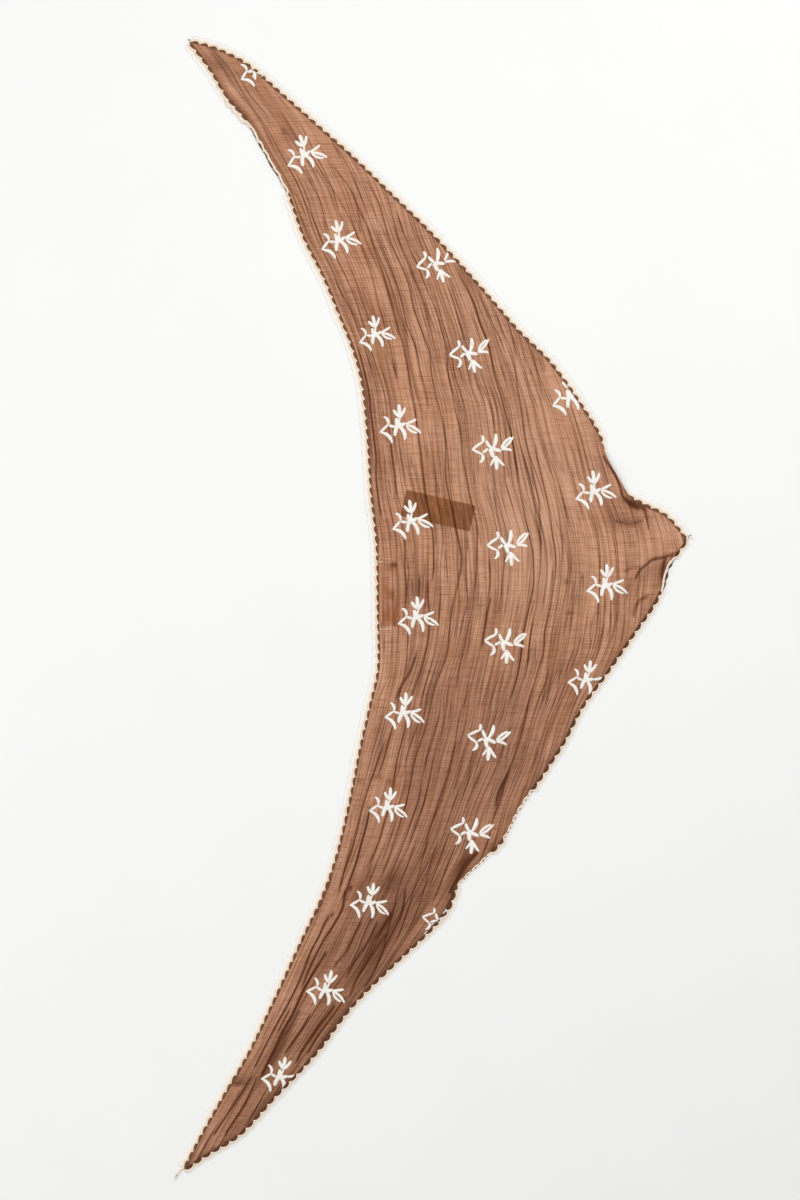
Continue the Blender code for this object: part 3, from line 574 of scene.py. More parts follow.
def fine_creases():
    """The finest crinkle between the main creases, in broken lanes from end to end, seeded."""
    rng = np.random.default_rng(11)
    first, last, highest, lowest = 3.0, 245.0, 485, -460
    band = PLAIN_BAND
    fine = []
    for lane in np.arange(first, last, FINE_LANE):
        top = highest - rng.uniform(0, 70)
        while top > lowest:
            length = rng.uniform(80, 280)
            pleat, drift = lane + rng.uniform(-1.6, 1.6), rng.uniform(-1.4, 1.4)
            bottom = top - length
            path = [(pleat, top), (pleat + drift, top - length / 2), (pleat + drift / 2, bottom)]
            depth = rng.uniform(0.2, 0.8)
            if band.x0 < pleat < band.x1 and bottom < band.y1 and top > band.y0:
                depth *= PLAIN_DEPTH
            fine.append(Crease(depth, rng.uniform(0.65, 0.95), path))
            top -= length * rng.uniform(0.65, 1.15)
    return fine


def crease_field(distance, y, creases):
    """How deep the creases are at each point, and how dark: painted shade and double cloth."""
    deep, dark = np.zeros_like(distance), np.zeros_like(distance)
    for number, crease in enumerate(creases):
        curve = smooth_curve(crease.path, 8)
        top, bottom = curve[0, 1], curve[-1, 1]
        near = np.flatnonzero((y < top) & (y > bottom))
        if not len(near):
            continue
        pleat = np.interp(y[near], curve[FALLING, 1], curve[FALLING, 0])
        away = distance[near] - pleat_distance(pleat, y[near])
        away = away + WIGGLE * wander(number, y[near], WIGGLE_RUN)
        end = min(LONGEST_FADE, (top - bottom) / 3)
        fade = soft_step((top - y[near]) / end) * soft_step((y[near] - bottom) / end)
        strength = fade * (0.8 + 0.3 * wander(number + 500, y[near], 34))
        narrow = crease.width * CREASE_WIDTH
        shape = np.exp(-((away / narrow) ** 2))
        wide = np.exp(-((away / (narrow * WIDE_PART)) ** 2))
        deep[near] += crease.depth * strength * (0.8 * shape + 0.2 * wide)
        dark[near] += crease.depth * strength * (0.9 * shape + 0.1 * wide)
    return deep, dark


def from_line(x, y, start, end):
    """Each point's distance from a straight line, and the share of the line's length beside it."""
    run = np.array([end[0] - start[0], end[1] - start[1]], float)
    dx, dy = x - start[0], y - start[1]
    share = np.clip((dx * run[0] + dy * run[1]) / np.dot(run, run), 0, 1)
    return np.hypot(dx - run[0] * share, dy - run[1] * share), share


def cross_field(x, y):
    """How deep the creases that run across the pleats are at each point."""
    deep = np.zeros_like(x)
    for crease in CROSS_CREASES:
        curve = smooth_curve(crease.path, 6)
        reach = np.ptp(curve, axis=0) / 2 + CROSS_REACH
        centre = curve.mean(axis=0)
        near = np.flatnonzero((abs(x - centre[0]) < reach[0]) & (abs(y - centre[1]) < reach[1]))
        away = np.full(len(near), FAR)
        for place, (start, end) in enumerate(zip(curve, curve[1:])):
            distance, share = from_line(x[near], y[near], start, end)
            taper = 0.35 * abs((place + share) / (len(curve) - 1) - 0.5) * crease.width
            away = np.minimum(away, distance + taper)
        deep[near] = np.maximum(deep[near], crease.depth * np.exp(-((away / crease.width) ** 2)))
    return deep


def fold_heights(x, y):
    total = np.zeros_like(x)
    for fold in FOLDS:
        away = from_line(x, y, (fold.x0, fold.y0), (fold.x1, fold.y1))[0]
        total += fold.height * np.exp(-((away / fold.width) ** 2))
    return total


def turned_offsets(x, y, item):
    """Each point's distances along and across an item that is turned."""
    turn = math.radians(item.turn)
    dx, dy = x - item.x, y - item.y
    return dx * math.cos(turn) + dy * math.sin(turn), -dx * math.sin(turn) + dy * math.cos(turn)


def label_heights(x, y):
    total = np.zeros_like(x)
    for label in LABELS:
        offsets = zip(turned_offsets(x, y, label), (label.length, label.width))
        past = [np.maximum(abs(offset) - size / 2 - LABEL_EDGE, 0) for offset, size in offsets]
        rise = 1 - soft_step(np.hypot(*past) / LABEL_RAMP)
        total = np.maximum(total, (LABEL_WALL + LABEL_GAP) * rise)
    return total


def shade_field(x, y):
    """How dark the soft shades are, with a dark band inside the lower leg."""
    total = np.zeros_like(x)
    for shade in SHADES:
        along, up = turned_offsets(x, y, shade)
        away = (along / (shade.length / 2)) ** 2 + (up / (shade.width / 2)) ** 2
        total += shade.dark * np.exp(-away * 1.3)
    below = soft_step((CORNER[1] - 40 - y) / 30)
    rim = (leg_x(y) - x) * 0.8
    band = np.exp(-((rim / LEG_BAND) ** 2)) * (0.7 + 0.5 * wander(340, y, 40))
    return total + LEG_SHADE * below * band


def flat_height(x, y):
    """The height of the cloth's crests, which its creases are cut from."""
    distance = x - edge_x(y)
    rim = np.minimum(distance, 0.72 * (leg_x(y) - x))
    rise = soft_step(rim / HEM_RISE)
    roll = 0.22 * wander(901, distance + 0.05 * y, 9) * wander(902, y, 70)
    return HEM_TOP + (CREST - HEM_TOP + roll) * rise + fold_heights(x, y) + label_heights(x, y)


ALL_CREASES = CREASES + fine_creases()


def cloth_surface(x, y):
    """The height of the cloth's upper face, and how dark its creases are painted, for shade and double
    cloth.
    """
    tip_start, tip_run, tip_shade = -150, 120, 0.45
    deep, dark = crease_field(x - edge_x(y), y, ALL_CREASES)
    across = cross_field(x, y)
    deep = DEEPEST * np.tanh((deep + across) / DEEPEST)
    # The creases' painted shade grows towards the lower tip, where the light runs along them.
    dark = (dark + across) * (1 + tip_shade * soft_step((tip_start - y) / tip_run))
    top = np.maximum(flat_height(x, y) - deep, CLOTH + 0.05 + label_heights(x, y))
    return top, np.clip(dark / FULL_DARK, 0, 1)


def new_object(name, vertices, faces, material):
    """A piece from points in layout millimetres."""
    points = np.array(vertices, float)
    points[:, :2] -= SHIFT
    data = bpy.data.meshes.new(name)
    data.from_pydata((points * MM).tolist(), [], faces)
    data.polygons.foreach_set("use_smooth", [True] * len(data.polygons))
    data.materials.append(material)
    data.update()
    obj = bpy.data.objects.new(name, data)
    bpy.context.scene.collection.objects.link(obj)
    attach(obj, "root")
    return obj


def give_numbers(obj, name, values):
    layer = obj.data.attributes.new(name, "FLOAT", "POINT")
    layer.data.foreach_set("value", np.asarray(values, np.float32))


def give_uv(obj, pairs):
    """A UV layer in metres across and along the threads."""
    layer = obj.data.uv_layers.new(name="threads")
    corners = np.zeros(len(obj.data.loops), np.int32)
    obj.data.loops.foreach_get("vertex_index", corners)
    layer.data.foreach_set("uv", (np.asarray(pairs)[corners] * MM).astype(np.float32).ravel())


def pleat_ends(pleat):
    """The heights at which a line of the grid meets the upper and the lower leg."""
    if pleat == 0:
        return HEIGHTS[-1], HEIGHTS[0]
    spare = WIDTHS - pleat_distance(swung(np.full_like(HEIGHTS, pleat), HEIGHTS), HEIGHTS)
    middle = int(np.argmax(np.where(np.abs(HEIGHTS - CORNER[1]) < 40, spare, -1)))
    ends = []
    for step in (1, -1):
        k = middle
        while 0 < k + step < len(HEIGHTS) - 1 and spare[k + step] > 0:
            k += step
        share = spare[k] / (spare[k] - spare[k + step])
        ends.append(HEIGHTS[k] + (HEIGHTS[k + step] - HEIGHTS[k]) * min(max(share, 0), 1))
    return tuple(ends)


def row_levels(pleat, row_step, regions):
    """The heights of a grid line's points, closer together in the regions."""
    top, bottom = pleat_ends(pleat)
    first, last = math.ceil(bottom / row_step + 0.3), math.floor(top / row_step - 0.3)
    rows = np.arange(last, first - 1, -1) * row_step
    x = edge_x(rows) + pleat_distance(swung(np.full_like(rows, pleat), rows), rows)
    levels = [top]
    for k, y in enumerate(rows):
        levels.append(float(y))
        if k < len(rows) - 1 and any(r.x0 < x[k] < r.x1 and r.y0 < y < r.y1 for r in regions):
            levels += [float(y) - row_step / 3, float(y) - row_step * 2 / 3]
    return np.array(levels + [bottom])


def cloth_grid(line_step, row_step, regions=()):
    """The cloth's points, its faces and its boundary, line by line from the long edge."""
    reach = MIDDLES[-1] - 1.0
    pleats = np.linspace(0, reach, int(reach / line_step))
    lines, points = [], []
    for pleat in pleats:
        y = row_levels(pleat, row_step, regions)
        x = edge_x(y) + pleat_distance(swung(np.full_like(y, pleat), y), y)
        lines.append(range(len(points), len(points) + len(y)))
        points += list(zip(x, y))
    faces = []
    for line, after in zip(lines, lines[1:]):
        i = j = 0
        while i < len(line) - 1 or j < len(after) - 1:
            a, b = line[i], after[j]
            can_quad = i < len(line) - 1 and j < len(after) - 1
            if can_quad and abs(points[line[i + 1]][1] - points[after[j + 1]][1]) < 1e-6:
                faces.append((a, line[i + 1], after[j + 1], b))
                i += 1
                j += 1
            elif j == len(after) - 1 or (
                i < len(line) - 1 and points[line[i + 1]][1] >= points[after[j + 1]][1]
            ):
                faces.append((a, line[i + 1], b))
                i += 1
            else:
                faces.append((a, after[j + 1], b))
                j += 1
    tops = [line[0] for line in lines[1:]]
    bottoms = [line[-1] for line in lines[1:-1]]
    rim = list(lines[0]) + bottoms + list(lines[-1])[::-1] + tops[:-1][::-1]
    return np.array(points), faces, rim


def zipped_rims(points, first, second):
    """Faces between two closed loops of points that run the same way round."""
    shares = []
    for loop in (first, second):
        along = lengths_along(points[list(loop) + [loop[0]], :2])
        shares.append(along / along[-1])
    faces = []
    i = j = 0
    while i < len(first) or j < len(second):
        a, b = first[i % len(first)], second[j % len(second)]
        if j == len(second) or (i < len(first) and shares[0][i + 1] <= shares[1][j + 1]):
            faces.append((first[(i + 1) % len(first)], a, b))
            i += 1
        else:
            faces.append((a, b, second[(j + 1) % len(second)]))
            j += 1
    return faces


def under_height(upper, x, y):
    """The lower face, which is coarser and so keeps below the upper face's deepest point near it."""
    left, below, tall = 300, 560, 3 * UNDER_CELL

    def cells(x, y):
        return ((x + left) / UNDER_CELL).astype(int), ((y + below) / tall).astype(int)

    deepest = np.full((int(2 * left / UNDER_CELL), int(2 * below / tall)), FAR)
    np.minimum.at(deepest, cells(upper[:, 0], upper[:, 1]), upper[:, 2])
    around = [np.roll(deepest, (i, j), (0, 1)) for i in (-1, 0, 1) for j in (-1, 0, 1)]
    return np.maximum(np.min(around, axis=0)[cells(x, y)] - CLOTH, LEAST_Z)


def build_cloth(material):
    """The voile as a thin closed shell: a fine upper face over a coarser lower one."""
    points, faces, rim = cloth_grid(LINE_STEP, ROW_STEP, FINE_REGIONS)
    x, y = points.T
    top, dark = cloth_surface(x, y)
    below, under_faces, under_rim = cloth_grid(LINE_STEP * UNDER_STEPS, ROW_STEP * UNDER_STEPS)
    under_x, under_y = below.T
    count = len(points)
    upper = np.column_stack([x, y, top])
    lower = np.column_stack([under_x, under_y, under_height(upper, under_x, under_y)])
    vertices = np.vstack([upper, lower])
    under = [tuple(count + k for k in face[::-1]) for face in under_faces]
    sides = zipped_rims(vertices, rim, [count + k for k in under_rim])
    cloth = new_object("cloth", vertices, faces + under + sides, material)
    all_x, all_y = vertices[:, 0], vertices[:, 1]
    # The crease number is the creases' painted shade and darker double cloth; the lower face gets a
    # little.
    give_numbers(cloth, "crease", np.concatenate([dark, np.full(len(below), 0.15)]))
    give_numbers(cloth, "shade", shade_field(all_x, all_y))
    give_uv(cloth, np.column_stack([pleat_at(all_x - edge_x(all_y), all_y), all_y]))
    return cloth


class Soup:
    """The points and faces of one piece, gathered part by part, with a tint for each point."""

    def __init__(self):
        self.points, self.faces, self.tints, self.uv = [], [], [], []

    def grid(self, rows, tint=0.0, uv=None, closed=False):
        """A patch of faces over rows of points, closed round each row if it is a tube."""
        rows = np.asarray(rows, float)
        start = len(self.points)
        high, wide = rows.shape[:2]
        self.points += rows.reshape(-1, 3).tolist()
        self.tints += np.broadcast_to(tint, (high, wide)).ravel().tolist()
        self.uv += np.reshape(rows[..., :2] if uv is None else uv, (-1, 2)).tolist()
        for i in range(high - 1):
            for j in range(wide if closed else wide - 1):
                k = (j + 1) % wide
                a, b = start + i * wide, start + (i + 1) * wide
                self.faces.append((a + j, a + k, b + k, b + j))
        return start

    def slab(self, rows, thickness, tint=0.0, uv=None):
        """A closed slab under rows of points."""
        rows = np.asarray(rows, float)
        high, wide = rows.shape[:2]
        lower = rows.copy()
        lower[..., 2] = np.maximum(lower[..., 2] - thickness, LEAST_Z)
        a = self.grid(rows, tint, uv)
        b = self.grid(lower, tint, uv)
        count = (high - 1) * (wide - 1)
        self.faces[-count:] = [face[::-1] for face in self.faces[-count:]]
        rim = list(range(wide)) + [i * wide + wide - 1 for i in range(1, high)]
        rim += [(high - 1) * wide + j for j in range(wide - 2, -1, -1)]
        rim += [i * wide for i in range(high - 2, 0, -1)]
        for p, q in zip(rim, rim[1:] + rim[:1]):
            self.faces.append((a + q, a + p, b + p, b + q))

    def tube(self, path, radius, tint=0.0, sides=6):
        """A round thread along points, with closed ends."""
        path = np.asarray(path, float)
        ahead = np.gradient(path, axis=0)
        ahead /= np.linalg.norm(ahead, axis=1)[:, None]
        side = np.cross(ahead, (0, 0, 1.0))
        side /= np.maximum(np.linalg.norm(side, axis=1), 1e-6)[:, None]
        up = np.cross(side, ahead)
        radius = np.broadcast_to(radius, len(path))
        angles = np.arange(sides) * 2 * math.pi / sides
        rings = [
            path + radius[:, None] * (side * math.cos(angle) + up * math.sin(angle)) for angle in angles
        ]
        around, along = angles[None, :] * radius[:, None], lengths_along(path)[:, None]
        uv = np.stack(np.broadcast_arrays(around, along), axis=-1)
        start = self.grid(np.stack(rings, axis=1), tint, uv, closed=True)
        self.faces.append(tuple(start + j for j in range(sides)))
        last = start + (len(path) - 1) * sides
        self.faces.append(tuple(last + j for j in reversed(range(sides))))

    def build(self, name, material):
        obj = new_object(name, self.points, self.faces, material)
        give_numbers(obj, "tint", self.tints)
        give_uv(obj, self.uv)
        return obj


def outward(edge, share, side):
    along = edge.tangent(share)
    return np.array([along[1], -along[0]]) * side


def border_walk(border, parts=10):
    """Places round an edge's scallops: (share, point, outward direction, phase)."""
    curve = border.curve
    count = round(curve.length / border.pitch)
    walk = []
    for k in range(count * parts + 1):
        share, phase = k / (count * parts), (k % parts) / parts
        walk.append((share, curve.at(share), outward(curve, share, border.side), phase))
    return walk


def scallop_reach(border, phase):
    rise = math.sin(math.pi * phase**border.lean)
    return HEM_WIDTH + border.depth * max(0, rise) ** 0.6


def lace_rim(border, phase):
    return border.lace + LACE_PICOT * math.sin(math.pi * phase)


def inside(y, spans):
    """How far a height lies inside one of the spans, from 0 to 1 over a few millimetres."""
    return max([0.0] + [float(soft_step(min(y - low, high - y) / 3)) for low, high in spans])


def runs_of(walk, keep):
    """The walk's stretches that are kept."""
    runs, run = [], []
    for place in walk:
        if keep(place):
            run.append(place)
        elif run:
            runs.append(run)
            run = []
    return [run for run in runs + [run] if len(run) > 2]


def under_fade(share):
    """How much of the border shows beside the stretch that is turned under."""
    low, high = TURNED_UNDER
    return float(soft_step(max(low - share, share - high) / UNDER_TAPER))


def border_sizes(name, share, point, phase):
    """How far the scallop and the lace reach out at a place of a border."""
    border = BORDERS[name]
    reach = scallop_reach(border, phase)
    rim = lace_rim(border, phase) * (0.97 + 0.06 * float(wander(77, share * border.curve.length, 21)))
    tucked = inside(point[1], TUCKED.get(name, []))
    reach = reach * (1 - 0.75 * tucked) - 0.8 * tucked
    rim = rim * (1 - 0.5 * tucked)
    if name == "upper":
        show = under_fade(share)
        reach, rim = reach * (0.25 + 0.75 * show), rim * show
    return reach, max(rim, reach + 0.3)


# How dark the brown thread is, and the scallops' section from inside the cloth outwards, as
# shares of the reach and heights.
HEM_TINTS = {"long": 0.0, "upper": 0.0, "lower": 0.6}
ROLL_TINT, TUCK_TINT = 0.4, 0.2
HEM_PROFILE = ((-1.0, 0.35), (-0.35, 0.75), (0.3, 0.8), (0.75, 0.55), (1.0, 0.0))


def build_hem(material):
    """The dark satin-stitched scallops along all three edges, and the hem's edge where it rolls."""
    soup = Soup()
    for name, border in BORDERS.items():
        walk, rolls = border_walk(border), ROLLED.get(name, [])
        low, high = TURNED_UNDER if name == "upper" else (2, 2)
        for run in runs_of(walk, lambda p: not low < p[0] < high and inside(p[1][1], rolls) < 0.4):
            rows = []
            for share, point, out, phase in run:
                reach = border_sizes(name, share, point, phase)[0]
                inner = HEM_INSIDE + DEEPER_HEM * inside(point[1], DEEP_HEM)
                full = 0.6 + 0.4 * math.sin(math.pi * phase)
                rows.append([
                    (*(point + out * (part * (inner if part < 0 else reach))), HEM_Z + height * full)
                    for part, height in HEM_PROFILE
                ])
            soup.slab(rows, HEM_SLAB, HEM_TINTS[name])
        for run in runs_of(walk, lambda p: inside(p[1][1], rolls) > 0.0):
            rows = []
            for k, (_, point, out, _) in enumerate(run):
                swell = math.sin(math.pi * k / (len(run) - 1)) ** 0.5
                wide = ROLL_WIDTH[name] * swell * (0.75 + 0.25 * float(wander(31, k, 4)))
                rows.append([(*(point + out * (1.0 + wide * t)), ROLL_Z - t**2) for t in (0, 0.5, 1)])
            soup.slab(rows, ROLL_SLAB, ROLL_TINT)
        for share, point, out, _ in border_walk(border, 2):
            if inside(point[1], TUCKED.get(name, [])) > 0.5:
                ahead = np.array([-out[1], out[0]])
                along = point + out * (0.9 + 0.5 * float(wander(61, share * 900, 3)))
                soup.tube([(*(along + ahead * t), TUCK_Z) for t in (-0.7, 0, 0.7)], STITCH, TUCK_TINT)
    for loose in BROWN_ENDS:
        soup.tube([(x, y, BROWN_END_Z) for x, y in smooth_curve(loose.path, 4)], loose.radius)
    return soup.build("hem", material)


def add_thread(soup, name, walk):
    """The inner cream thread, with a knot at each scallop where the hem has rolled over."""
    rolls, length = ROLLED.get(name, []), BORDERS[name].curve.length
    path, thick = [], []
    for share, point, out, phase in walk:
        rolled = inside(point[1], rolls)
        ribbon = (inside(point[1], RIBBON) if name == "long" else rolled) - rolled
        reach = border_sizes(name, share, point, phase)[0] + RIBBON_REACH * ribbon
        notch = 0.5 + 0.5 * math.cos(2 * math.pi * phase)
        wave = THREAD_WAVE[name] * float(wander(55, share * length, 5))
        near = (reach + 0.45) * (1 - rolled) + (0.9 + wave) * rolled
        height = 1.0 + 0.25 * notch + 0.7 * rolled + 0.45 * ribbon
        path.append((*(point + out * near), height))
        thick.append(THREAD * (1 + 0.12 * rolled + 0.65 * ribbon))
        if rolled > 0.6 and phase == 0.5:
            knot = ((*(point + out * (near + t)), height + 0.4 - 0.15 * t * t) for t in (-KNOT, 0, KNOT))
            soup.tube(list(knot), 0.45)
    soup.tube(path, thick)


def add_net(soup, name, run):
    """The pale net outside the scallops, and its rim thread."""
    outer, net, tints, parts = [], [], [], (0.0, 0.35, 0.7, 1.0)
    for share, point, out, phase in run:
        reach, rim = border_sizes(name, share, point, phase)
        outer.append((*(point + out * rim), RIM_Z))
        start, width = reach + NET_GAP, rim - reach - NET_GAP
        net.append([(*(point + out * (start + width * t)), NET_Z - 0.3 * t) for t in parts])
        tints.append([0.2, 0.9 if phase == 0 else 0.5, 0.85, 1.0])
    soup.tube(outer, RIM_THREAD, 1.0)
    soup.slab(net, NET_SLAB, np.array(tints))


def lace_pieces(material):
    """The cream thread and lace outside the scallops, one piece for each solid strip."""
    spans = {
        "lace_long": ("long", 0, 1),
        "lace_upper": ("upper", 0, TURNED_UNDER[0]),
        "lace_corner": ("upper", TURNED_UNDER[1], 1),
        "lace_lower": ("lower", 0, 1),
    }
    pieces = []
    for node, (name, start, end) in spans.items():
        soup, rolls = Soup(), ROLLED.get(name, [])
        walk = [place for place in border_walk(BORDERS[name]) if start <= place[0] <= end]
        add_thread(soup, name, walk)
        for run in runs_of(walk, lambda p: inside(p[1][1], rolls) < 0.5):
            add_net(soup, name, run)
        for loose in CREAM_ENDS if node == "lace_lower" else ():
            x, y = smooth_curve(loose.path, 4).T
            over_seam = inside(y[0], SEAM_SPAN)
            height = flat_height(x, y) + 0.1 if over_seam else np.full_like(x, CREAM_END_Z)
            soup.tube(np.column_stack([x, y, height]), loose.radius)
        piece = soup.build(node + "_thread", material)
        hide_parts(node)
        pieces.append(piece)
    return pieces


def petal_rows(petal, steps=9, across=5):
    """A petal's points in its sprig, with how high they stand out of 1."""
    start, end = np.array([petal.x0, petal.y0]), np.array([petal.x1, petal.y1])
    run = end - start
    normal = np.array([-run[1], run[0]]) / np.linalg.norm(run)
    bend = -petal.bend if run[1] < 0 else petal.bend
    rows, rise = [], []
    for t in np.linspace(0, 1, steps):
        middle = start + run * t + normal * (-bend) * 4 * t * (1 - t)
        full = 0.35 + 0.65 * math.sin(math.pi * (0.08 + 0.84 * t)) ** 0.7
        half = petal.width * PETAL_SWELL / 2 * full
        for v in np.linspace(-1, 1, across):
            rows.append(middle + normal * half * v)
            rise.append((1 - 0.85 * v * v) * (0.45 + 0.55 * math.sin(math.pi * t) ** 0.5))
    shape = (steps, across)
    return np.array(rows).reshape(*shape, 2), np.array(rise).reshape(shape)


def pleat_lean(x, y):
    """How far the pleats lean to the right of the layout's y at a point, as an angle."""
    pleat = pleat_at(np.array([x - edge_x(y)]), np.array([y]))
    ends = np.array([y + 15.0, y - 15.0])
    across = edge_x(ends) + pleat_distance(np.repeat(pleat, 2), ends)
    return math.atan2(across[0] - across[1], ends[0] - ends[1])


def build_embroidery(material):
    soup = Soup()
    for number, sprig in enumerate(SPRIGS):
        rng = np.random.default_rng(40 + number)
        turn = -pleat_lean(sprig.x, sprig.y) * SPRIG_LEAN + math.radians(rng.uniform(-2, 2))
        cos, sin = math.cos(turn), math.sin(turn)
        spin = np.array([[cos, sin], [-sin, cos]]) * sprig.size
        for petal in sprig.petals:
            rows, rise = petal_rows(petal)
            rows = rows @ spin + (sprig.x, sprig.y) + rng.uniform(-0.2, 0.2, 2)
            x, y = rows[..., 0].ravel(), rows[..., 1].ravel()
            on_cloth = (x > edge_x(y)) & (x < leg_x(y))
            if on_cloth.mean() < 0.5:
                continue
            x = np.clip(x, edge_x(y) + 0.3, leg_x(y) - 0.3)
            base = flat_height(x, y) - 0.15
            top = base.reshape(rise.shape) + FLOSS * rise
            grid = np.dstack([x.reshape(rise.shape), y.reshape(rise.shape), top])
            high, wide = rise.shape
            uv = np.dstack(np.meshgrid(np.linspace(-1, 1, wide), np.linspace(0, 10, high)))
            soup.slab(grid, PETAL_SLAB, rng.uniform(0, 1), uv)
    for petal in STRAY_STITCHES:
        rows, rise = petal_rows(petal, 6, 3)
        soup.slab(np.dstack([rows, STRAY_Z + 0.4 * rise]), PETAL_SLAB, 0.5)
    return soup.build("embroidery", material)


def build_labels(material):
    """The blank tapes under the cloth, a little rippled."""
    pieces = []
    for label in LABELS:
        soup, rows = Soup(), []
        turn = math.radians(label.turn)
        cos, sin = math.cos(turn), math.sin(turn)
        for s in np.linspace(-0.5, 0.5, 25):
            row = []
            for t in np.linspace(-0.5, 0.5, 11):
                u, v = s * label.length, t * label.width
                ripple = TAPE_RIPPLE * math.sin(s * 9) * math.cos(t * 5)
                row.append((label.x + u * cos - v * sin, label.y + u * sin + v * cos, TAPE_Z + ripple))
            rows.append(row)
        soup.slab(rows, TAPE_SLAB)
        piece = soup.build(label.name + "_tape", material)
        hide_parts(label.name)
        pieces.append(piece)
    return pieces


class Nodes:
    """A material's node tree, built call by call."""

    def __init__(self, name):
        self.material = bpy.data.materials.new(name)
        self.material.use_nodes = True
        self.tree = self.material.node_tree
        self.shader = self.tree.nodes["Principled BSDF"]

    def add(self, kind, inputs=(), **settings):
        node = self.tree.nodes.new(kind)
        for key, value in settings.items():
            setattr(node, key, value)
        for key, value in dict(inputs).items():
            self.put(node.inputs[key], value)
        return node

    def put(self, socket, value):
        if isinstance(value, bpy.types.NodeSocket):
            self.tree.links.new(value, socket)
        else:
            socket.default_value = value

    def calc(self, operation, a, b=0.0):
        return self.add("ShaderNodeMath", {0: a, 1: b}, operation=operation).outputs[0]

    def times(self, a, b):
        return self.calc("MULTIPLY", a, b)

    def size(self, value):
        """A value without its sign."""
        return self.calc("ABSOLUTE", value)

    def weighted(self, *pairs):
        """The sum of values, each times its weight."""
        total, *others = [self.times(value, weight) for value, weight in pairs]
        for other in others:
            total = self.calc("ADD", total, other)
        return total

    def mix(self, share, a, b):
        node = self.add("ShaderNodeMix", data_type="RGBA")
        self.put(node.inputs[0], share)
        self.put(node.inputs[6], a)
        self.put(node.inputs[7], b)
        return node.outputs[2]

    def scaled(self, vector, scale):
        return self.add("ShaderNodeMapping", {0: vector, 3: scale}).outputs[0]

    def noise(self, vector, scale, detail=2.0):
        """Noise on coordinates in metres, at so many cells a metre on each axis."""
        inputs = {"Vector": self.scaled(vector, scale), "Scale": 1.0, "Detail": detail}
        return self.add("ShaderNodeTexNoise", inputs).outputs[0]

    def ramp(self, value, start, end):
        inputs = {"Value": value, "From Min": start, "From Max": end}
        return self.add("ShaderNodeMapRange", inputs, clamp=True).outputs[0]

    def uv(self):
        return self.add("ShaderNodeUVMap", uv_map="threads").outputs[0]

    def place(self):
        return self.add("ShaderNodeTexCoord").outputs["Object"]

    def number(self, name):
        return self.add("ShaderNodeAttribute", attribute_name=name).outputs["Fac"]

    def bump(self, height, strength, distance):
        inputs = {"Height": height, "Strength": strength, "Distance": distance}
        self.put(self.shader.inputs["Normal"], self.add("ShaderNodeBump", inputs).outputs[0])

    def set(self, **values):
        for key, value in values.items():
            self.put(self.shader.inputs[key.replace("_", " ")], value)


def rectangle_mask(nodes, label, grow, soft):
    """A mask of 1 over a label's outline, in the row frame, and the place along the label."""
    middle = ((label.x - SHIFT[0]) * MM, (label.y - SHIFT[1]) * MM, 0)
    moved = nodes.add("ShaderNodeVectorMath", {0: nodes.place(), 1: middle}, operation="SUBTRACT")
    turn = {"Vector": moved.outputs[0], "Angle": -math.radians(label.turn)}
    spun = nodes.add("ShaderNodeVectorRotate", turn, rotation_type="Z_AXIS")
    parts = nodes.add("ShaderNodeSeparateXYZ", {0: spun.outputs[0]}).outputs
    sides = []
    for part, size in ((parts[0], label.length), (parts[1], label.width)):
        edge = (size / 2 + grow) * MM
        sides.append(nodes.ramp(nodes.size(part), edge + soft * MM, edge - soft * MM))
    return nodes.times(*sides), parts[0]


LIGHT_CLOTH = (0.672, 0.358, 0.226, 1)
PLAIN_CLOTH = (0.452, 0.209, 0.115, 1)
DARK_CLOTH = (0.262, 0.096, 0.042, 1)
# The creases' colour: painted shade, with the darker double cloth.
GROOVE_SHADE_AND_DOUBLE_CLOTH = (0.100, 0.027, 0.009, 1)
SHADE_CLOTH = (0.17, 0.070, 0.038, 1)
LABEL_CLOTH = (0.185, 0.062, 0.020, 1)
GLOW_CLOTH = (0.33, 0.118, 0.022, 1)
LIGHTER_PLACE_CLOTH = (0.72, 0.41, 0.265, 1)
SEAM_CLOTH = (0.36, 0.135, 0.060, 1)


def crinkle_lines(nodes, threads, scale, thin):
    """Fine lines along the pleats, which wander, meet and fade as noise crosses its middle, for painted
    groove shade.
    """
    away = nodes.size(nodes.calc("SUBTRACT", nodes.noise(threads, scale, 1), 0.5))
    fading = nodes.ramp(nodes.noise(threads, (scale[0] * 0.9, scale[1] * 2, 1), 1), 0.36, 0.6)
    return nodes.times(nodes.ramp(away, thin, thin * 0.15), fading)


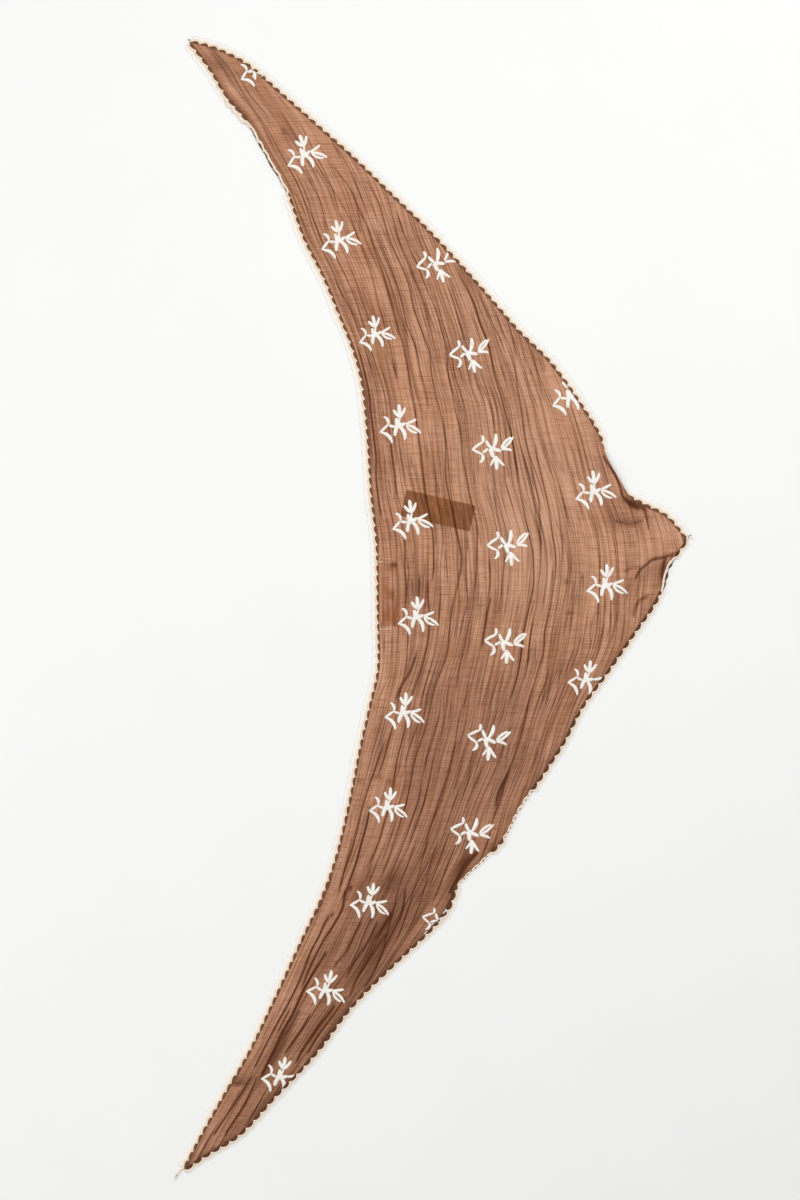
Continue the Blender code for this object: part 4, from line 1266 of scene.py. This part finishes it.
def cloth_material():
    """Thin crinkled voile with slubby threads and fine crinkle; its creases are darker as double cloth
    and painted shade.
    """
    nodes = Nodes("crinkled_voile")
    threads = nodes.uv()
    weft = nodes.noise(threads, (60, 1200, 1), 3)
    slub = nodes.noise(threads, (30, 420, 1), 2)
    warp = nodes.noise(threads, (560, 9, 1), 2)
    strips = nodes.noise(threads, (150, 5, 1), 3)
    patch = nodes.noise(threads, (45, 30, 1), 3)
    bands = nodes.weighted((patch, 0.45), (strips, 0.55))
    colour = nodes.mix(nodes.ramp(bands, 0.36, 0.62), PLAIN_CLOTH, LIGHT_CLOTH)
    streak = nodes.weighted((weft, 0.7), (slub, 0.3))
    for value, start, end, most, tint in (
        (streak, 0.52, 0.34, 0.6, DARK_CLOTH),
        (streak, 0.53, 0.68, 0.58, LIGHT_CLOTH),
        (warp, 0.48, 0.28, 0.45, DARK_CLOTH),
    ):
        colour = nodes.mix(nodes.times(nodes.ramp(value, start, end), most), colour, tint)
    # Painted fold shade, double cloth and broad darker areas where shade is above 0; lighter places
    # below 0.
    shade = nodes.number("shade")
    colour = nodes.mix(nodes.ramp(shade, 0.0, 1.1), colour, SHADE_CLOTH)
    colour = nodes.mix(nodes.ramp(shade, 0.0, -1.3), colour, LIGHTER_PLACE_CLOTH)
    for label in LABELS:
        mask, along = rectangle_mask(nodes, label, -0.3, 0.35)
        if label.name == "label_back":
            glow = nodes.ramp(nodes.size(nodes.times(along, 1 / (label.length * MM))), 0.42, 0.0)
            patchy = nodes.ramp(nodes.noise(threads, (160, 90, 1), 1), 0.35, 0.6)
            glow = nodes.times(nodes.times(glow, patchy), 0.9)
            under, strength = nodes.mix(glow, LABEL_CLOTH, GLOW_CLOTH), 0.8
        else:
            under, strength = SEAM_CLOTH, nodes.ramp(nodes.noise(threads, (90, 60, 1), 1), 0.35, 0.62)
        colour = nodes.mix(nodes.times(mask, strength), colour, under)
    wide = crinkle_lines(nodes, threads, (120, 4, 1), 0.024)
    lines = nodes.calc("MAXIMUM", wide, crinkle_lines(nodes, threads, (230, 8, 1), 0.028))
    # Painted shade, with the darker double cloth, in the fine crinkle's lines and in the creases.
    for strength in (nodes.times(lines, 0.5), nodes.times(nodes.number("crease"), 0.92)):
        colour = nodes.mix(strength, colour, GROOVE_SHADE_AND_DOUBLE_CLOTH)
    fine = nodes.noise(threads, (700, 2600, 1), 1)
    nodes.bump(nodes.weighted((streak, 1.0), (fine, 0.5), (warp, 0.8), (lines, -1.2)), 0.7, 0.0008)
    rough = nodes.calc("ADD", nodes.times(nodes.ramp(streak, 0.2, 0.8), 0.15), 0.75)
    nodes.set(Base_Color=colour, Roughness=rough, Specular_IOR_Level=0.02)
    nodes.set(Sheen_Weight=0.015, Sheen_Roughness=0.4)
    return nodes.material


def thread_material(name, colours, coarse, sheen, bump):
    """Stitched thread: fine strands in its own direction, between two colours."""
    nodes = Nodes(name)
    strands = nodes.noise(nodes.uv(), coarse, 2)
    patch = nodes.noise(nodes.place(), (260, 260, 260), 2)
    share = nodes.weighted((strands, 0.6), (patch, 0.4))
    colour = nodes.mix(nodes.ramp(share, 0.35, 0.65), *colours)
    nodes.bump(strands, bump, 0.0004)
    nodes.set(Base_Color=colour, Roughness=0.7, Sheen_Weight=sheen, Specular_IOR_Level=0.1)
    return nodes, colour


def hem_material():
    browns = (0.125, 0.052, 0.027, 1), (0.215, 0.097, 0.054, 1)
    nodes, colour = thread_material("brown_thread", browns, (700, 700, 1), 0.02, 0.6)
    nodes.set(Base_Color=nodes.mix(nodes.number("tint"), colour, (0.07, 0.027, 0.014, 1)))
    return nodes.material


def lace_material():
    """Cream thread, paler towards the net's rim, with a darker speckle of painted shade in the net's
    holes.
    """
    creams = (0.86, 0.68, 0.50, 1), (0.96, 0.84, 0.70, 1)
    nodes, colour = thread_material("cream_thread", creams, (900, 500, 1), 0.05, 0.7)
    pale = nodes.mix(nodes.number("tint"), colour, (0.94, 0.92, 0.89, 1))
    # The speckle paints shade in the net's holes.
    hole_shade = nodes.times(nodes.ramp(nodes.noise(nodes.place(), (850, 850, 850), 1), 0.5, 0.3), 0.12)
    nodes.set(Base_Color=nodes.mix(hole_shade, pale, (0.75, 0.68, 0.6, 1)))
    return nodes.material


def floss_material():
    whites = (0.84, 0.77, 0.68, 1), (1.0, 1.0, 0.97, 1)
    return thread_material("white_floss", whites, (250, 1100, 1), 0.05, 0.9)[0].material


def label_material():
    nodes = Nodes("woven_tape")
    ribs = nodes.noise(nodes.place(), (300, 2200, 1), 2)
    patch = nodes.noise(nodes.place(), (60, 60, 60), 2)
    colour = nodes.mix(nodes.ramp(patch, 0.3, 0.7), (0.20, 0.085, 0.032, 1), (0.30, 0.13, 0.045, 1))
    colour = nodes.mix(nodes.times(nodes.ramp(ribs, 0.6, 0.35), 0.4), colour, (0.12, 0.05, 0.02, 1))
    nodes.bump(ribs, 0.5, 0.0003)
    nodes.set(Base_Color=colour, Roughness=0.6, Sheen_Weight=0.2)
    return nodes.material


def floor_material():
    nodes = Nodes("paper_white")
    grain = nodes.noise(nodes.place(), (12, 12, 12), 2)
    colour = nodes.mix(grain, (0.90, 0.90, 0.895, 1), (0.92, 0.92, 0.915, 1))
    nodes.set(Base_Color=colour, Roughness=0.9, Specular_IOR_Level=0.1)
    return nodes.material


def build_stage():
    """A pale floor, soft studio light from the upper right, and the camera straight above."""
    floor_size, floor_drop = 8, 0.0002
    lens, sensor, frame_height, view_centre = 85, 36, 1.056, (-29.5, 7.5)
    scene = bpy.context.scene
    bpy.ops.mesh.primitive_plane_add(size=floor_size, location=(0, 0, -floor_drop))
    floor = bpy.context.object
    floor.name = "floor"
    floor.data.materials.append(floor_material())
    world = bpy.data.worlds.new("studio")
    world.use_nodes = True
    world.node_tree.nodes["Background"].inputs[0].default_value = (1.0, 1.0, 1.0, 1)
    world.node_tree.nodes["Background"].inputs[1].default_value = 0.58
    scene.world = world
    for name, place, size, power in (
        ("key", (0.70, 1.00, 1.60), 0.6, 13.0),
        ("fill", (-1.2, -0.2, 1.4), 1.6, 11.0),
    ):
        light = bpy.data.lights.new(name, "AREA")
        light.size, light.energy = size, power
        lamp = bpy.data.objects.new(name, light)
        lamp.location = place
        aim = -np.array(place) / np.linalg.norm(place)
        lamp.rotation_euler = (math.acos(-aim[2]), 0, math.atan2(-aim[0], aim[1]))
        scene.collection.objects.link(lamp)
    camera = bpy.data.cameras.new("camera")
    camera.lens, camera.sensor_width = lens, sensor
    eye = bpy.data.objects.new("camera", camera)
    eye.location = (*((np.array(view_centre) - SHIFT) * MM), frame_height * lens / sensor)
    scene.collection.objects.link(eye)
    scene.camera = eye
    scene.view_settings.view_transform = "Standard"


build_stage()
cloth = build_cloth(cloth_material())
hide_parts("panel")
hem = build_hem(hem_material())
laces = lace_pieces(lace_material())
embroidery = build_embroidery(floss_material())
tapes = build_labels(label_material())
